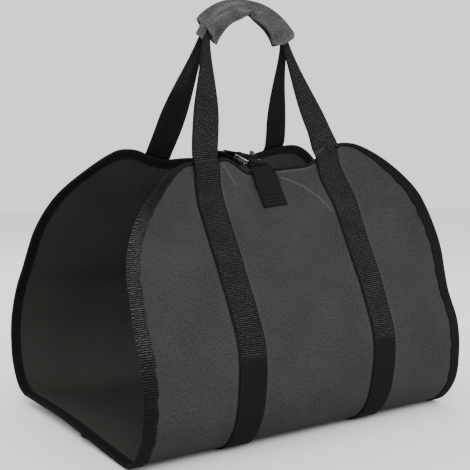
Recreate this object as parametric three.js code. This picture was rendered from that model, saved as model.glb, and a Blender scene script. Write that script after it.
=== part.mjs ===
// Firewood carrier: one canvas sheet bent into an open-ended cradle, bound all round its edge,
// carried on two loops of webbing that meet in a padded grip, and closed over the load by a
// webbing strap that folds through a rectangular ring.
// Millimetres, +Z up. X runs along the cradle, the front panel faces -Y, and the webbing under
// the canvas lies on Z = 0 with the origin at the middle of the whole carrier's footprint.

import * as THREE from "three";

// Driving dimensions of the layers
const CLEARANCE = 0.3;
const CANVAS_THICK = 1.6;
const BINDING_THICK = 1.0;
const BINDING_WIDTH = 14;
const WEBBING_THICK = 2;
const WEBBING_WIDTH = 36;

// Driving dimensions of the canvas sheet as it hangs
const CANVAS_WIDTH = 460;
const BAG_DEPTH = 377;
const HEM_HEIGHT = 320;
const CORNER_DROP = 150;
const CORNER_POWER = 1.8;
const HEM_END_MARGIN = 8;
const STRAP_SPACING = 195;

// Driving dimensions of how the top leans, flares and is drawn together
const CORNER_FLARE = 60;
const CORNER_CURL = 20;
const FLARE_START = 0.3;
const TOP_TILT = 12;
const TILT_LIMIT = 1.45;
const TOP_SWAY = 7;
const FRONT_PULL = 18;
const FRONT_SAG = 22;
const SAG_CENTRE = 22;
const SAG_FLAT = 40;
const SAG_HALF = 95;
const BACK_PULL = 12;
const BACK_SAG = 9;
const BACK_CORNER_RAISE = 25;
const PULL_REACH = 70;
const SAG_REACH = 200;
const END_LIFT = 12;

// Driving dimensions of the handles and the grip
const GRIP_TOP = 508.5;
const GRIP_LEAN = 36;
const GRIP_RADIUS = 70;
const GRIP_HALF_ANGLE = 60;
const GATHER_WIDTH = 11;
const GATHER_THICK = 3.6;
const GATHER_LENGTH = 120;
const LEG_EASE = 8;
const GRIP_WAIST = 21;
const GRIP_FLARE = 37;
const GRIP_WALL = 2.2;
const GRIP_EASE = 1;
const HANDLE_GAP = 0.5;
const GRIP_END_RADIUS = 12;
const TAB_LENGTH = 9;
const TAB_WIDTH = 11;
const TAB_THICK = 1.6;

// Driving dimensions of the closure
const CLOSURE_SEWN = 56;
const RING_LENGTH = 23.5;
const RING_BAR = 3.5;
const RING_HEIGHT = 5.5;
const RING_CORNER = 3;
const RING_PITCH = 22;
const RING_YAW = 12;
const RING_ROLL = 6;
const RING_RISE = 9;
const RING_BEHIND_HEM = 6;
const BAR_EASE = 0.5;
const TAIL_LENGTH = 26;
const LOOP_TAB_SIZE = 8;

// Side section of the cradle from the front hem under the load to the back hem.
// out: share of half the bag's depth, up: share of the hem's height above the canvas's lowest line
const SECTION = [
  { out: -0.435, up: 1.015 },
  { out: -0.504, up: 0.878 },
  { out: -0.566, up: 0.8 },
  { out: -0.716, up: 0.625 },
  { out: -0.859, up: 0.465 },
  { out: -0.971, up: 0.34 },
  { out: -1.0, up: 0.228 },
  { out: -0.972, up: 0.11 },
  { out: -0.885, up: 0.03 },
  { out: -0.785, up: 0 },
  { out: 0, up: 0 },
  { out: 0.743, up: 0 },
  { out: 0.87, up: 0.033 },
  { out: 0.971, up: 0.125 },
  { out: 1.0, up: 0.228 },
  { out: 0.968, up: 0.343 },
  { out: 0.881, up: 0.465 },
  { out: 0.759, up: 0.553 },
  { out: 0.546, up: 0.725 },
  { out: 0.393, up: 0.834 },
  { out: 0.244, up: 0.928 },
  { out: 0.125, up: 1.02 },
];

// Folds that the closure draws into the front panel, each a soft ridge from one point to another.
// fromX, toX: shares of half the strap spacing; fromDown, toDown: shares of the pull's reach
const FOLDS = [
  { fromX: -0.7, fromDown: 0, toX: -0.58, toDown: 0.46, height: 4, width: 10 },
  { fromX: 0.29, fromDown: 0.17, toX: 0.67, toDown: 0.75, height: 4.5, width: 13 },
];

// Numbers of steps in the meshes
const CORNER_STEPS = 6;
const GATHER_STEPS = 5;
const WING_STEPS = 4;
const LONG_STEP = 60;
const TURN_STEP = 15;
const SECTION_SAMPLES = 900;
const LEG_STEPS = 11;
const ARCH_STEPS = 20;
const GRIP_BEND_STEPS = 4;
const QUARTER_STEPS = 2;

// Sizes that follow from the driving ones
const canvasHalf = CANVAS_THICK / 2;
const layerInner = canvasHalf + CLEARANCE;
const bindingOuter = layerInner + BINDING_THICK;
const webbingOuter = layerInner + WEBBING_THICK;
const overBinding = bindingOuter + CLEARANCE;
const baseLevel = Math.max(webbingOuter, bindingOuter);
const halfWebbing = WEBBING_WIDTH / 2;
const halfWidth = CANVAS_WIDTH / 2;
const strapX = STRAP_SPACING / 2;
const strapInnerEdge = strapX - halfWebbing;
const strapOuterEdge = strapX + halfWebbing;
const hemHalf = strapOuterEdge + HEM_END_MARGIN;
const rad = THREE.MathUtils.degToRad;
const clamp = THREE.MathUtils.clamp;
const lerp = THREE.MathUtils.lerp;

function smooth(value, from, to) {
  return THREE.MathUtils.smoothstep(value, from, to);
}

// Point p moved by distance along direction d
function moved(p, d, distance) {
  return p.clone().addScaledVector(d, distance);
}

// Dense samples of the side section with running length and turn
function sampleSection() {
  const rows = SECTION.map(({ out, up }) => new THREE.Vector3(
    0, out * BAG_DEPTH / 2, baseLevel + up * HEM_HEIGHT));
  const curve = new THREE.CatmullRomCurve3(rows, false, "centripetal");
  const samples = [];
  let length = 0;
  let turn = 0;
  let heading = null;
  for (let i = 0; i <= SECTION_SAMPLES; i += 1) {
    const point = curve.getPoint(i / SECTION_SAMPLES);
    point.z = Math.max(point.z, baseLevel);
    if (i > 0) {
      const step = point.clone().sub(samples[i - 1].point);
      length += step.length();
      if (heading) turn += heading.angleTo(step);
      heading = step;
    }
    samples.push({ point, length, turn });
  }
  return samples;
}

const sectionSamples = sampleSection();
const sheetLength = sectionSamples[SECTION_SAMPLES].length;
const middle = sectionSamples.reduce(
  (best, sample) => (Math.abs(sample.point.y) < Math.abs(best.point.y) ? sample : best)).length;

// Value of the dense samples at one length, by halving
function sampleAt(length) {
  let low = 0;
  let high = SECTION_SAMPLES;
  while (high - low > 1) {
    const half = (low + high) >> 1;
    if (sectionSamples[half].length <= length) low = half;
    else high = half;
  }
  const a = sectionSamples[low];
  const b = sectionSamples[high];
  const share = clamp((length - a.length) / (b.length - a.length), 0, 1);
  return { point: a.point.clone().lerp(b.point, share), turn: lerp(a.turn, b.turn, share) };
}

// Soft bell across the sheet, one at its centre and nil from half away
function bell(x, centre, half) {
  return Math.cos((Math.PI / 2) * clamp(Math.abs(x - centre) / half, 0, 1)) ** 2;
}

// Height of the drawn-in folds at a place on the front panel
function foldHeight(x, down) {
  let height = 0;
  for (const fold of FOLDS) {
    const from = new THREE.Vector2(fold.fromX * strapX, fold.fromDown * PULL_REACH);
    const run = new THREE.Vector2(fold.toX * strapX, fold.toDown * PULL_REACH).sub(from);
    const place = new THREE.Vector2(x, down).sub(from);
    const along = clamp(place.dot(run) / run.lengthSq(), 0, 1);
    const away = place.addScaledVector(run, -along).length();
    height += fold.height * Math.exp(-((away / fold.width) ** 2)) * (1 - 0.6 * along);
  }
  return height;
}

// Middle of the canvas at x across and length s from the front hem: the side section, leaned,
// flared at the free corners, drawn in and sagging at the closure
function sheetPoint(x, s) {
  const { point } = sampleAt(s);
  const front = s < middle;
  const down = front ? s : sheetLength - s;
  const rise = (point.z - baseLevel) / HEM_HEIGHT;
  const wing = clamp((Math.abs(x) - strapOuterEdge) / (halfWidth - strapOuterEdge), 0, 1) ** 1.1;
  const flare = clamp((rise - FLARE_START) / (1 - FLARE_START), 0, 1);
  const across = clamp(x / strapX, -TILT_LIMIT, TILT_LIMIT);
  const middleBell = bell(x, 0, strapInnerEdge);
  const pull = clamp(1 - down / PULL_REACH, 0, 1) ** 2 * middleBell;
  const sag = clamp(1 - down / SAG_REACH, 0, 1) ** 1.5;
  const plateau = 1 - smooth(Math.abs(x - SAG_CENTRE), SAG_FLAT, SAG_HALF);
  point.x = x;
  if (front) {
    point.y += FRONT_PULL * pull - CORNER_FLARE * wing * flare ** 1.5 - foldHeight(x, down);
    point.z -= FRONT_SAG * sag * plateau;
  } else {
    point.y -= BACK_PULL * pull + CORNER_CURL * wing * flare;
    point.z -= BACK_SAG * sag * bell(x, SAG_CENTRE, SAG_HALF);
    point.z += BACK_CORNER_RAISE * smooth(-x, strapInnerEdge, 1.65 * strapX) * smooth(rise, 0.35, 1);
  }
  point.y += TOP_SWAY * across * smooth(rise, 0.8, 1);
  point.z += TOP_TILT * across * smooth(rise, 0.35, 1);
  point.z += END_LIFT * smooth(-x, strapOuterEdge, halfWidth) * (1 - rise) ** 2
    * smooth(point.y, -0.45 * BAG_DEPTH, 0.15 * BAG_DEPTH);
  return point;
}

// Place on the sheet with its outward normal and its directions across and along
function sheetFrame(x, s) {
  const e = 0.5;
  const s0 = Math.max(0, s - e);
  const s1 = Math.min(sheetLength, s + e);
  const across = sheetPoint(x + e, s).sub(sheetPoint(x - e, s)).normalize();
  const along = sheetPoint(x, s1).sub(sheetPoint(x, s0)).normalize();
  const normal = along.clone().cross(across).normalize();
  return { point: sheetPoint(x, s), normal, across, along };
}

// Sweep of like rings of points, as one closed body. flat: the section's triangles for the two ends,
// null where the sweep closes on itself. crossed: says at which ring and side of the section a quad is
// split the other way, so that facing layers are split alike
function sweep(rings, flat, crossed) {
  const count = rings[0].length;
  const positions = rings.flat().flatMap((p) => [p.x, p.y, p.z]);
  const index = [];
  const last = flat ? rings.length - 1 : rings.length;
  for (let k = 0; k < last; k += 1) {
    const a = k * count;
    const b = ((k + 1) % rings.length) * count;
    for (let i = 0; i < count; i += 1) {
      const j = (i + 1) % count;
      if (crossed(k, i)) index.push(a + i, b + i, a + j, b + i, b + j, a + j);
      else index.push(a + i, b + i, b + j, a + i, b + j, a + j);
    }
  }
  if (flat) {
    const end = (rings.length - 1) * count;
    for (const [i, j, k] of flat) {
      index.push(i, j, k);
      index.push(end + i, end + k, end + j);
    }
  }
  return solid(positions, index);
}

// Geometry of a closed body, turned so that its faces point out
function solid(positions, index) {
  const geometry = new THREE.BufferGeometry();
  const corner = (k) => new THREE.Vector3().fromArray(positions, 3 * index[k]);
  let volume = 0;
  for (let k = 0; k < index.length; k += 3) {
    volume += corner(k).dot(corner(k + 1).cross(corner(k + 2)));
  }
  const faces = volume < 0 ? index.toReversed() : index;
  geometry.setAttribute("position", new THREE.Float32BufferAttribute(positions, 3));
  geometry.setIndex(faces);
  return geometry;
}

// Rows of the sheet from hem to hem. Each has the place of its end on the cut edge (edge) and
// at the binding's inner line (inset), for the right-hand side
function sheetRows() {
  const corner = [];
  for (let k = 0; k <= CORNER_STEPS; k += 1) {
    const turn = (Math.PI / 2) * (k / CORNER_STEPS);
    const sx = Math.sin(turn) ** (2 / CORNER_POWER);
    const sy = k === CORNER_STEPS ? 0 : Math.cos(turn) ** (2 / CORNER_POWER);
    const run = halfWidth - hemHalf;
    const out = new THREE.Vector2(
      sx ** (CORNER_POWER - 1) / run, -(sy ** (CORNER_POWER - 1)) / CORNER_DROP).normalize();
    const edge = { x: hemHalf + run * sx, down: CORNER_DROP * (1 - sy) };
    const inset = { x: edge.x - BINDING_WIDTH * out.x, down: edge.down - BINDING_WIDTH * out.y };
    corner.push({ edge, inset });
  }
  const rows = corner.map(({ edge, inset }) => ({
    edge: { x: edge.x, s: edge.down }, inset: { x: inset.x, s: inset.down } }));
  const measure = (s) => s / LONG_STEP + sampleAt(s).turn / rad(TURN_STEP);
  const spans = [[CORNER_DROP, middle], [middle, sheetLength - CORNER_DROP]];
  for (const [from, to] of spans) {
    const total = measure(to) - measure(from);
    const steps = Math.ceil(total);
    for (let k = 1; k <= steps; k += 1) {
      let low = from;
      let high = to;
      for (let n = 0; n < 40; n += 1) {
        const half = (low + high) / 2;
        if (measure(half) - measure(from) < (total * k) / steps) low = half;
        else high = half;
      }
      const s = k === steps ? to : low;
      rows.push({ edge: { x: halfWidth, s }, inset: { x: halfWidth - BINDING_WIDTH, s } });
    }
  }
  for (const { edge, inset } of corner.slice(0, -1).reverse()) {
    rows.push({
      edge: { x: edge.x, s: sheetLength - edge.down },
      inset: { x: inset.x, s: sheetLength - inset.down } });
  }
  return rows;
}

// Columns across the sheet for a row that reaches out to half: closer at the closure strap and
// the folds beside it, on the carrying straps' edges, and spread over the free wings
function columns(half) {
  const right = [halfWebbing / 2, halfWebbing];
  for (let k = 1; k <= GATHER_STEPS; k += 1) {
    right.push(lerp(halfWebbing, strapInnerEdge, k / GATHER_STEPS));
  }
  right.push(strapX, strapOuterEdge);
  for (let k = 1; k <= WING_STEPS; k += 1) {
    right.push(lerp(strapOuterEdge, half, k / WING_STEPS));
  }
  return [...right.map((x) => -x).reverse(), 0, ...right];
}

const rows = sheetRows();

// The edge of the sheet as pairs of places, on the cut edge and at the binding's inner line,
// once round: front hem, right side, back hem, left side
function edgePairs() {
  const first = rows[0];
  const last = rows[rows.length - 1];
  const hem = columns(first.inset.x);
  const side = rows.slice(1, -1);
  const pair = (sign) => ({ edge, inset }) => ({
    edge: { x: sign * edge.x, s: edge.s }, inset: { x: sign * inset.x, s: inset.s } });
  const hemPair = (row) => (x) => ({ edge: { x, s: row.edge.s }, inset: { x, s: row.inset.s } });
  return [
    ...hem.map(hemPair(first)),
    ...side.map(pair(1)),
    ...hem.toReversed().map(hemPair(last)),
    ...side.toReversed().map(pair(-1)),
  ];
}

const pairs = edgePairs();

// The canvas: a grid inside the binding's line, a strip of quads out to the cut edge, both skins
// and the cut edge's wall
function canvasGeometry() {
  const positions = [];
  const half = [];
  function add({ x, s }) {
    const { point, normal } = sheetFrame(x, s);
    half.push(moved(point, normal, canvasHalf), moved(point, normal, -canvasHalf));
    return half.length / 2 - 1;
  }
  const grid = rows.map(({ inset }) => columns(inset.x).map((x) => add({ x, s: inset.s })));
  const cut = pairs.map(({ edge }) => add(edge));
  const lastRow = grid.length - 1;
  const lastColumn = grid[0].length - 1;
  const inner = [
    ...grid[0],
    ...grid.slice(1, lastRow).map((row) => row[lastColumn]),
    ...grid[lastRow].toReversed(),
    ...grid.slice(1, lastRow).map((row) => row[0]).reverse(),
  ];
  const faces = [];
  for (let i = 0; i < lastRow; i += 1) {
    for (let j = 0; j < lastColumn; j += 1) {
      const [a, b, c, d] = [grid[i][j], grid[i + 1][j], grid[i + 1][j + 1], grid[i][j + 1]];
      faces.push([a, b, c], [a, c, d]);
    }
  }
  for (let k = 0; k < cut.length; k += 1) {
    const n = (k + 1) % cut.length;
    faces.push([cut[k], inner[k], inner[n]], [cut[k], inner[n], cut[n]]);
  }
  const index = faces.flatMap(([a, b, c]) => [2 * a, 2 * b, 2 * c, 2 * a + 1, 2 * c + 1, 2 * b + 1]);
  for (let k = 0; k < cut.length; k += 1) {
    const [a, b] = [2 * cut[k], 2 * cut[(k + 1) % cut.length]];
    index.push(a, b, b + 1, a, b + 1, a + 1);
  }
  half.forEach((p) => positions.push(p.x, p.y, p.z));
  return solid(positions, index);
}

// The binding: a folded tape that holds the cut edge, with a leg on each side of the canvas
function bindingGeometry() {
  const rings = pairs.map(({ edge, inset }) => {
    const outer = sheetFrame(edge.x, edge.s);
    const inner = sheetFrame(inset.x, inset.s);
    const away = outer.point.clone().sub(inner.point).normalize();
    const lip = (gap, offset) => moved(moved(outer.point, away, gap), outer.normal, offset);
    const leg = (offset) => moved(inner.point, inner.normal, offset);
    const wrap = CLEARANCE + BINDING_THICK;
    return [
      leg(bindingOuter), leg(layerInner), lip(CLEARANCE, layerInner),
      lip(CLEARANCE, -layerInner), leg(-layerInner), leg(-bindingOuter),
      lip(wrap, -bindingOuter), lip(wrap, bindingOuter),
    ];
  });
  return sweep(rings, null, (k, side) => side === 1);
}

// Ring of a webbing band from its three places across, each with its own normal
function bandRing(places, inner, outer) {
  const lower = places.map(({ point, normal }) => moved(point, normal, inner));
  const upper = places.map(({ point, normal }) => moved(point, normal, outer));
  return [...lower, ...upper.reverse()];
}

const BAND_ENDS = [[0, 1, 5], [1, 4, 5], [1, 2, 4], [2, 3, 4]];

// The two sides of a band's section that face the canvas
function bandSeat(k, side) {
  return side < 2;
}

// Band ring sewn on the canvas at centre line x, down from the front or back hem. The band's own
// across direction is +X times turn
function sewnRing(front, x, down, turn) {
  const s = front ? down : sheetLength - down;
  const places = [-halfWebbing, 0, halfWebbing].map((w) => sheetFrame(x + turn * w, s));
  const lift = (overBinding - layerInner) * clamp(
    1 - (down - BINDING_WIDTH) / BINDING_WIDTH, 0, 1);
  return bandRing(places, layerInner + lift, webbingOuter + lift);
}

// Band ring just beyond a hem, where the band still follows the panel's lean and its waves
function leavingRing(front, x, beyond, turn) {
  const places = [-halfWebbing, 0, halfWebbing].map((w) => {
    const { point, normal, along } = sheetFrame(x + turn * w, front ? 0 : sheetLength);
    return { point: moved(point, along, front ? -beyond : beyond), normal };
  });
  return bandRing(places, overBinding, overBinding + WEBBING_THICK);
}

// Band ring in the open, around its centre with across direction w and heading t. spread: 1 where
// the band lies flat, 0 where it is gathered into the grip and so is narrower and thicker
function freeRing(centre, w, t, spread) {
  const outward = w.clone().cross(t).normalize();
  const half = lerp(GATHER_WIDTH / 2, halfWebbing, spread);
  const thick = lerp(GATHER_THICK, WEBBING_THICK, spread);
  const places = [-half, 0, half].map((share) => ({ point: moved(centre, w, share), normal: outward }));
  return bandRing(places, -thick / 2, thick / 2);
}

// Distances of the sheet's rows below a hem
function rowDowns(front) {
  return front ? rows.map(({ inset }) => inset.s)
    : rows.toReversed().map(({ inset }) => sheetLength - inset.s);
}

// Middle of the two stacked handle bands along the arch of the grip, at angle a from its crown
function archFrame(a) {
  const heading = new THREE.Vector3(Math.cos(a), 0, -Math.sin(a));
  const across = new THREE.Vector3(-Math.sin(a), 0, -Math.cos(a));
  const centre = new THREE.Vector3(
    GRIP_RADIUS * Math.sin(a), -GRIP_LEAN, GRIP_TOP - GRIP_RADIUS * (1 - Math.cos(a)));
  return { centre, heading, across, outward: across.clone().cross(heading) };
}

// How far beyond a hem a band still runs on straight
const leave = 2 * WEBBING_THICK;
const stackOffset = (GATHER_THICK + HANDLE_GAP) / 2;
const gripRadius = stackOffset + GATHER_THICK / 2 + GRIP_EASE + GRIP_WALL / 2;

// Place and heading where a handle band leaves a panel's hem
function hemLeave(front, x, turn) {
  const { point, normal, across, along } = sheetFrame(x, front ? 0 : sheetLength);
  return {
    centre: moved(point, normal, overBinding + WEBBING_THICK / 2),
    heading: along.clone().multiplyScalar(front ? -1 : 1),
    across: across.clone().multiplyScalar(turn),
  };
}

// Rings of the free leg between a hem and an end of the grip, in the order from the hem up.
// up: 1 where the band runs up this leg, -1 where it runs down
function legRings(hem, top, up) {
  const start = moved(hem.centre, hem.heading, leave);
  const curve = new THREE.CubicBezierCurve3(
    start, moved(start, hem.heading, start.distanceTo(top.centre) / 7),
    moved(top.centre, top.heading, -LEG_EASE), top.centre);
  const rings = [];
  for (let k = 1; k < LEG_STEPS; k += 1) {
    const share = k / LEG_STEPS;
    const heading = curve.getTangentAt(share);
    const across = hem.across.clone().lerp(top.across, share);
    across.addScaledVector(heading, -across.dot(heading)).normalize();
    const centre = curve.getPointAt(share);
    const spread = smooth(centre.distanceTo(top.centre), 0, GATHER_LENGTH);
    rings.push(freeRing(centre, across, heading.multiplyScalar(up), spread));
  }
  return rings;
}

// One carrying loop: under the canvas, up the left of its panel, over the grip, down the right
function webbingGeometry(front) {
  const turn = front ? 1 : -1;
  const reach = (front ? middle : sheetLength - middle) - CLEARANCE;
  const downs = [0, ...rowDowns(front).filter((down) => down < reach - CLEARANCE), reach];
  const limit = rad(GRIP_HALF_ANGLE);
  const archPlace = (a) => {
    const frame = archFrame(a);
    const across = frame.across.clone().multiplyScalar(turn);
    return { centre: moved(frame.centre, frame.outward, turn * stackOffset), across,
      heading: frame.heading };
  };
  const leftTop = archPlace(-limit);
  const rightTop = archPlace(limit);
  const rings = downs.toReversed().map((down) => sewnRing(front, -strapX, down, turn));
  rings.push(leavingRing(front, -strapX, leave, turn));
  rings.push(...legRings(hemLeave(front, -strapX, turn), leftTop, 1));
  for (let k = 0; k <= ARCH_STEPS; k += 1) {
    const place = archPlace(lerp(-limit, limit, k / ARCH_STEPS));
    rings.push(freeRing(place.centre, place.across, place.heading, 0));
  }
  const rightUp = { centre: rightTop.centre, across: rightTop.across,
    heading: rightTop.heading.clone().negate() };
  rings.push(...legRings(hemLeave(front, strapX, -turn), rightUp, -1).reverse());
  rings.push(leavingRing(front, strapX, leave, -turn));
  rings.push(...downs.map((down) => sewnRing(front, strapX, down, -turn)));
  const sewn = downs.length;
  const stacked = (k) => !front && k >= sewn && k < rings.length - sewn;
  return sweep(rings, BAND_ENDS, (k, side) => bandSeat(k, side) !== stacked(k));
}

// Half the flat part of the wrap's oval section at angle a: slim at the crown, wide at both ends
function gripStraight(a) {
  const share = Math.min(1, Math.abs(a) / rad(GRIP_HALF_ANGLE)) ** 1.3;
  return lerp(GRIP_WAIST, GRIP_FLARE, share) / 2 - gripRadius - GRIP_WALL / 2;
}

// Middle line of the grip's padded wrap in its section: a flat oval that winds once round the
// handle bands and laps over its own start. across, outward: places in the band's frame
function gripSpiral(straight) {
  const radius = gripRadius;
  const growth = GRIP_WALL + CLEARANCE;
  const line = [];
  const add = (across, outward, angle, share) => {
    const grow = growth * share;
    line.push(new THREE.Vector2(
      across + grow * Math.cos(angle), outward + grow * Math.sin(angle)));
  };
  const up = Math.PI / 2;
  add(0, radius, up, 0);
  for (let k = 0; k <= GRIP_BEND_STEPS; k += 1) {
    const angle = up - Math.PI * (k / GRIP_BEND_STEPS);
    add(straight + radius * Math.cos(angle), radius * Math.sin(angle), angle, 0.25 * k / GRIP_BEND_STEPS);
  }
  add(0, -radius, -up, 0.4);
  for (let k = 0; k <= GRIP_BEND_STEPS; k += 1) {
    const angle = -up - Math.PI * (k / GRIP_BEND_STEPS);
    add(-straight + radius * Math.cos(angle), radius * Math.sin(angle), angle,
      0.5 + 0.4 * k / GRIP_BEND_STEPS);
  }
  add(0, radius, up, 1);
  add(straight, radius, up, 1);
  return line;
}

// Closed section of the wrap, its middle line given the wall's thickness
function gripSection(straight) {
  const line = gripSpiral(straight);
  const sides = line.map((point, k) => {
    const before = line[Math.max(0, k - 1)];
    const after = line[Math.min(line.length - 1, k + 1)];
    const run = after.clone().sub(before).normalize();
    const normal = new THREE.Vector2(run.y, -run.x);
    return [point.clone().addScaledVector(normal, GRIP_WALL / 2),
      point.clone().addScaledVector(normal, -GRIP_WALL / 2)];
  });
  return [...sides.map(([a]) => a), ...sides.map(([, b]) => b).reverse()];
}

// How far the grip's rounded end stands back at a place across
function endTrim(across) {
  const side = GRIP_FLARE / 2 - GRIP_END_RADIUS;
  const beyond = clamp((Math.abs(across) - side) / (1.25 * GRIP_END_RADIUS), 0, 1);
  return GRIP_END_RADIUS * (1 - Math.sqrt(1 - beyond ** 2));
}

// Triangles of a closed section, wound the way its points run
function sectionFaces(section) {
  const winding = Math.sign(THREE.ShapeUtils.area(section));
  return THREE.ShapeUtils.triangulateShape(section, []).map(([a, b, c]) => {
    const area = THREE.ShapeUtils.area([section[a], section[b], section[c]]);
    return Math.sign(area) === winding ? [a, b, c] : [a, c, b];
  });
}

// The grip's wrap: straight at its left end, rounded at its right end
function gripGeometry() {
  const limit = rad(GRIP_HALF_ANGLE);
  const step = (2 * limit) / ARCH_STEPS;
  const whole = ARCH_STEPS - Math.ceil(GRIP_END_RADIUS / GRIP_RADIUS / step);
  const rings = [];
  for (let k = 0; k <= ARCH_STEPS; k += 1) {
    const straight = gripStraight(k * step - limit);
    rings.push(gripSection(straight).map(({ x, y }) => {
      const share = Math.max(0, (k - whole) / (ARCH_STEPS - whole));
      const angle = k * step - limit - share * endTrim(x) / GRIP_RADIUS;
      const { centre, across, outward } = archFrame(angle);
      return moved(moved(centre, across, x), outward, y);
    }));
  }
  const section = gripSection(gripStraight(limit));
  const widening = (k, side) => section[(side + 1) % section.length].x > section[side].x;
  return sweep(rings, sectionFaces(section), widening);
}

// The small tab that stands out of the grip's left end over the front band
function tabGeometry() {
  const limit = rad(GRIP_HALF_ANGLE);
  const { centre, across, outward, heading } = archFrame(-limit);
  const start = moved(moved(centre, outward, gripRadius), heading, -CLEARANCE);
  const middlePoint = moved(moved(start, heading, -TAB_LENGTH / 2), across, 0.4 - GRIP_FLARE / 2 + TAB_WIDTH / 2);
  const geometry = new THREE.BoxGeometry(TAB_LENGTH, TAB_WIDTH, TAB_THICK);
  const basis = new THREE.Matrix4().makeBasis(heading, across, heading.clone().cross(across));
  return geometry.applyMatrix4(basis.setPosition(middlePoint));
}

// Frame of the closure's ring: origin in its front bar, x along that bar, y back along the ring
function ringFrame() {
  const x = new THREE.Vector3(1, Math.tan(rad(RING_YAW)), -Math.tan(rad(RING_ROLL))).normalize();
  const y = new THREE.Vector3(0, Math.cos(rad(RING_PITCH)), Math.sin(rad(RING_PITCH)));
  y.addScaledVector(x, -y.dot(x)).normalize();
  const hem = sheetPoint(0, 0);
  const origin = new THREE.Vector3(0, hem.y + RING_BEHIND_HEM, hem.z + RING_RISE);
  return { origin, x, y, z: x.clone().cross(y) };
}

const ring = ringFrame();
const ringReach = RING_LENGTH - RING_BAR;
const barWrap = BAR_EASE + WEBBING_THICK / 2;
const loopRise = RING_HEIGHT / 2 + barWrap;

// Place in the ring's frame at distance back from its front bar and above its plane
function ringPlace(back, above) {
  return moved(moved(ring.origin, ring.y, back), ring.z, above);
}

// Places of a band's middle line round the corners of one of the ring's bars. Each corner: the
// sides of the bar that it joins, y and z, and the angles from and to which the band turns there
function roundBar(back, corners) {
  return corners.flatMap(({ y, z, from, to }) => {
    const places = [];
    for (let k = 0; k <= QUARTER_STEPS; k += 1) {
      const angle = rad(lerp(from, to, k / QUARTER_STEPS));
      const centre = ringPlace(
        back + (y * RING_BAR) / 2 + barWrap * Math.cos(angle),
        (z * RING_HEIGHT) / 2 + barWrap * Math.sin(angle));
      places.push({ centre, turned: 1 });
    }
    return places;
  });
}

// A closure band: up its panel from the lowest sewn row, over the hem, then along the places given.
// turned: how far the band has turned from the hem's direction to the ring's
function closureGeometry(front, places) {
  const turn = front ? 1 : -1;
  const list = rowDowns(front);
  const miss = (down) => Math.abs(down - CLOSURE_SEWN);
  const end = list.reduce((best, down) => (miss(down) < miss(best) ? down : best));
  const downs = [0, ...list.filter((down) => down <= end)];
  const hem = hemLeave(front, 0, turn);
  const goal = ring.x.clone().multiplyScalar(turn);
  const path = [{ centre: moved(hem.centre, hem.heading, leave), turned: 0 }, ...places];
  const rings = downs.toReversed().map((down) => sewnRing(front, 0, down, turn));
  rings.push(leavingRing(front, 0, leave, turn));
  for (let k = 1; k < path.length; k += 1) {
    const next = path[Math.min(k + 1, path.length - 1)];
    const heading = next.centre.clone().sub(path[k - 1].centre).normalize();
    const across = hem.across.clone().lerp(goal, path[k].turned);
    across.addScaledVector(heading, -across.dot(heading)).normalize();
    rings.push(freeRing(path[k].centre, across, heading, 1));
  }
  return sweep(rings, BAND_ENDS, bandSeat);
}

// The front closure band turns over the ring's front bar and back under it
function frontClosureGeometry() {
  const loop = roundBar(0, [
    { y: -1, z: -1, from: 215, to: 180 },
    { y: -1, z: 1, from: 180, to: 90 },
    { y: 1, z: 1, from: 90, to: 0 },
    { y: 1, z: -1, from: 0, to: -60 },
  ]);
  return closureGeometry(true, loop);
}

// The back closure band comes forward under the ring's rear bar, up through it and back on itself
function backClosureGeometry() {
  const hem = hemLeave(false, 0, -1);
  const loop = roundBar(ringReach, [
    { y: -1, z: -1, from: -90, to: -180 },
    { y: -1, z: 1, from: 180, to: 90 },
    { y: 1, z: 1, from: 90, to: 60 },
  ]);
  const crest = moved(hem.centre, hem.heading, 2.5 * leave);
  const under = ringPlace(ringReach + TAIL_LENGTH, -loopRise);
  const near = ringPlace(ringReach + TAIL_LENGTH / 2, -loopRise);
  const laid = WEBBING_THICK + CLEARANCE - loopRise;
  const tail = [0.5, 1].map((share) => ({
    centre: ringPlace(ringReach + share * TAIL_LENGTH, lerp(loopRise, laid, share)), turned: 1 }));
  return closureGeometry(false, [
    { centre: crest, turned: 0 }, { centre: under, turned: 0.8 }, { centre: near, turned: 1 },
    ...loop, ...tail]);
}

// The closure's rectangular ring with rounded corners
function ringGeometry() {
  const outerX = halfWebbing + CLEARANCE + RING_BAR;
  const innerX = outerX - RING_BAR;
  const rectangle = (shape, x, y0, y1, r) => shape
    .moveTo(-x + r, y0)
    .lineTo(x - r, y0)
    .quadraticCurveTo(x, y0, x, y0 + r)
    .lineTo(x, y1 - r)
    .quadraticCurveTo(x, y1, x - r, y1)
    .lineTo(-x + r, y1)
    .quadraticCurveTo(-x, y1, -x, y1 - r)
    .lineTo(-x, y0 + r)
    .quadraticCurveTo(-x, y0, -x + r, y0);
  const outline = rectangle(new THREE.Shape(), outerX, -RING_BAR / 2, ringReach + RING_BAR / 2, RING_CORNER);
  outline.holes.push(
    rectangle(new THREE.Path(), innerX, RING_BAR / 2, ringReach - RING_BAR / 2, RING_CORNER / 3));
  const geometry = new THREE.ExtrudeGeometry(
    outline, { depth: RING_HEIGHT, bevelEnabled: false, curveSegments: 3 });
  geometry.translate(0, 0, -RING_HEIGHT / 2);
  const basis = new THREE.Matrix4().makeBasis(ring.x, ring.y, ring.z);
  return geometry.applyMatrix4(basis.setPosition(ring.origin));
}

// The small pull tab that stands on the back closure band where it turns over the ring
function loopTabGeometry() {
  const geometry = new THREE.BoxGeometry(LOOP_TAB_SIZE, TAB_THICK, LOOP_TAB_SIZE);
  const seat = ringPlace(
    ringReach, loopRise + WEBBING_THICK / 2 + CLEARANCE + LOOP_TAB_SIZE / 2);
  const basis = new THREE.Matrix4().makeBasis(ring.x, ring.y, ring.z);
  return geometry.applyMatrix4(basis.setPosition(seat));
}

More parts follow.
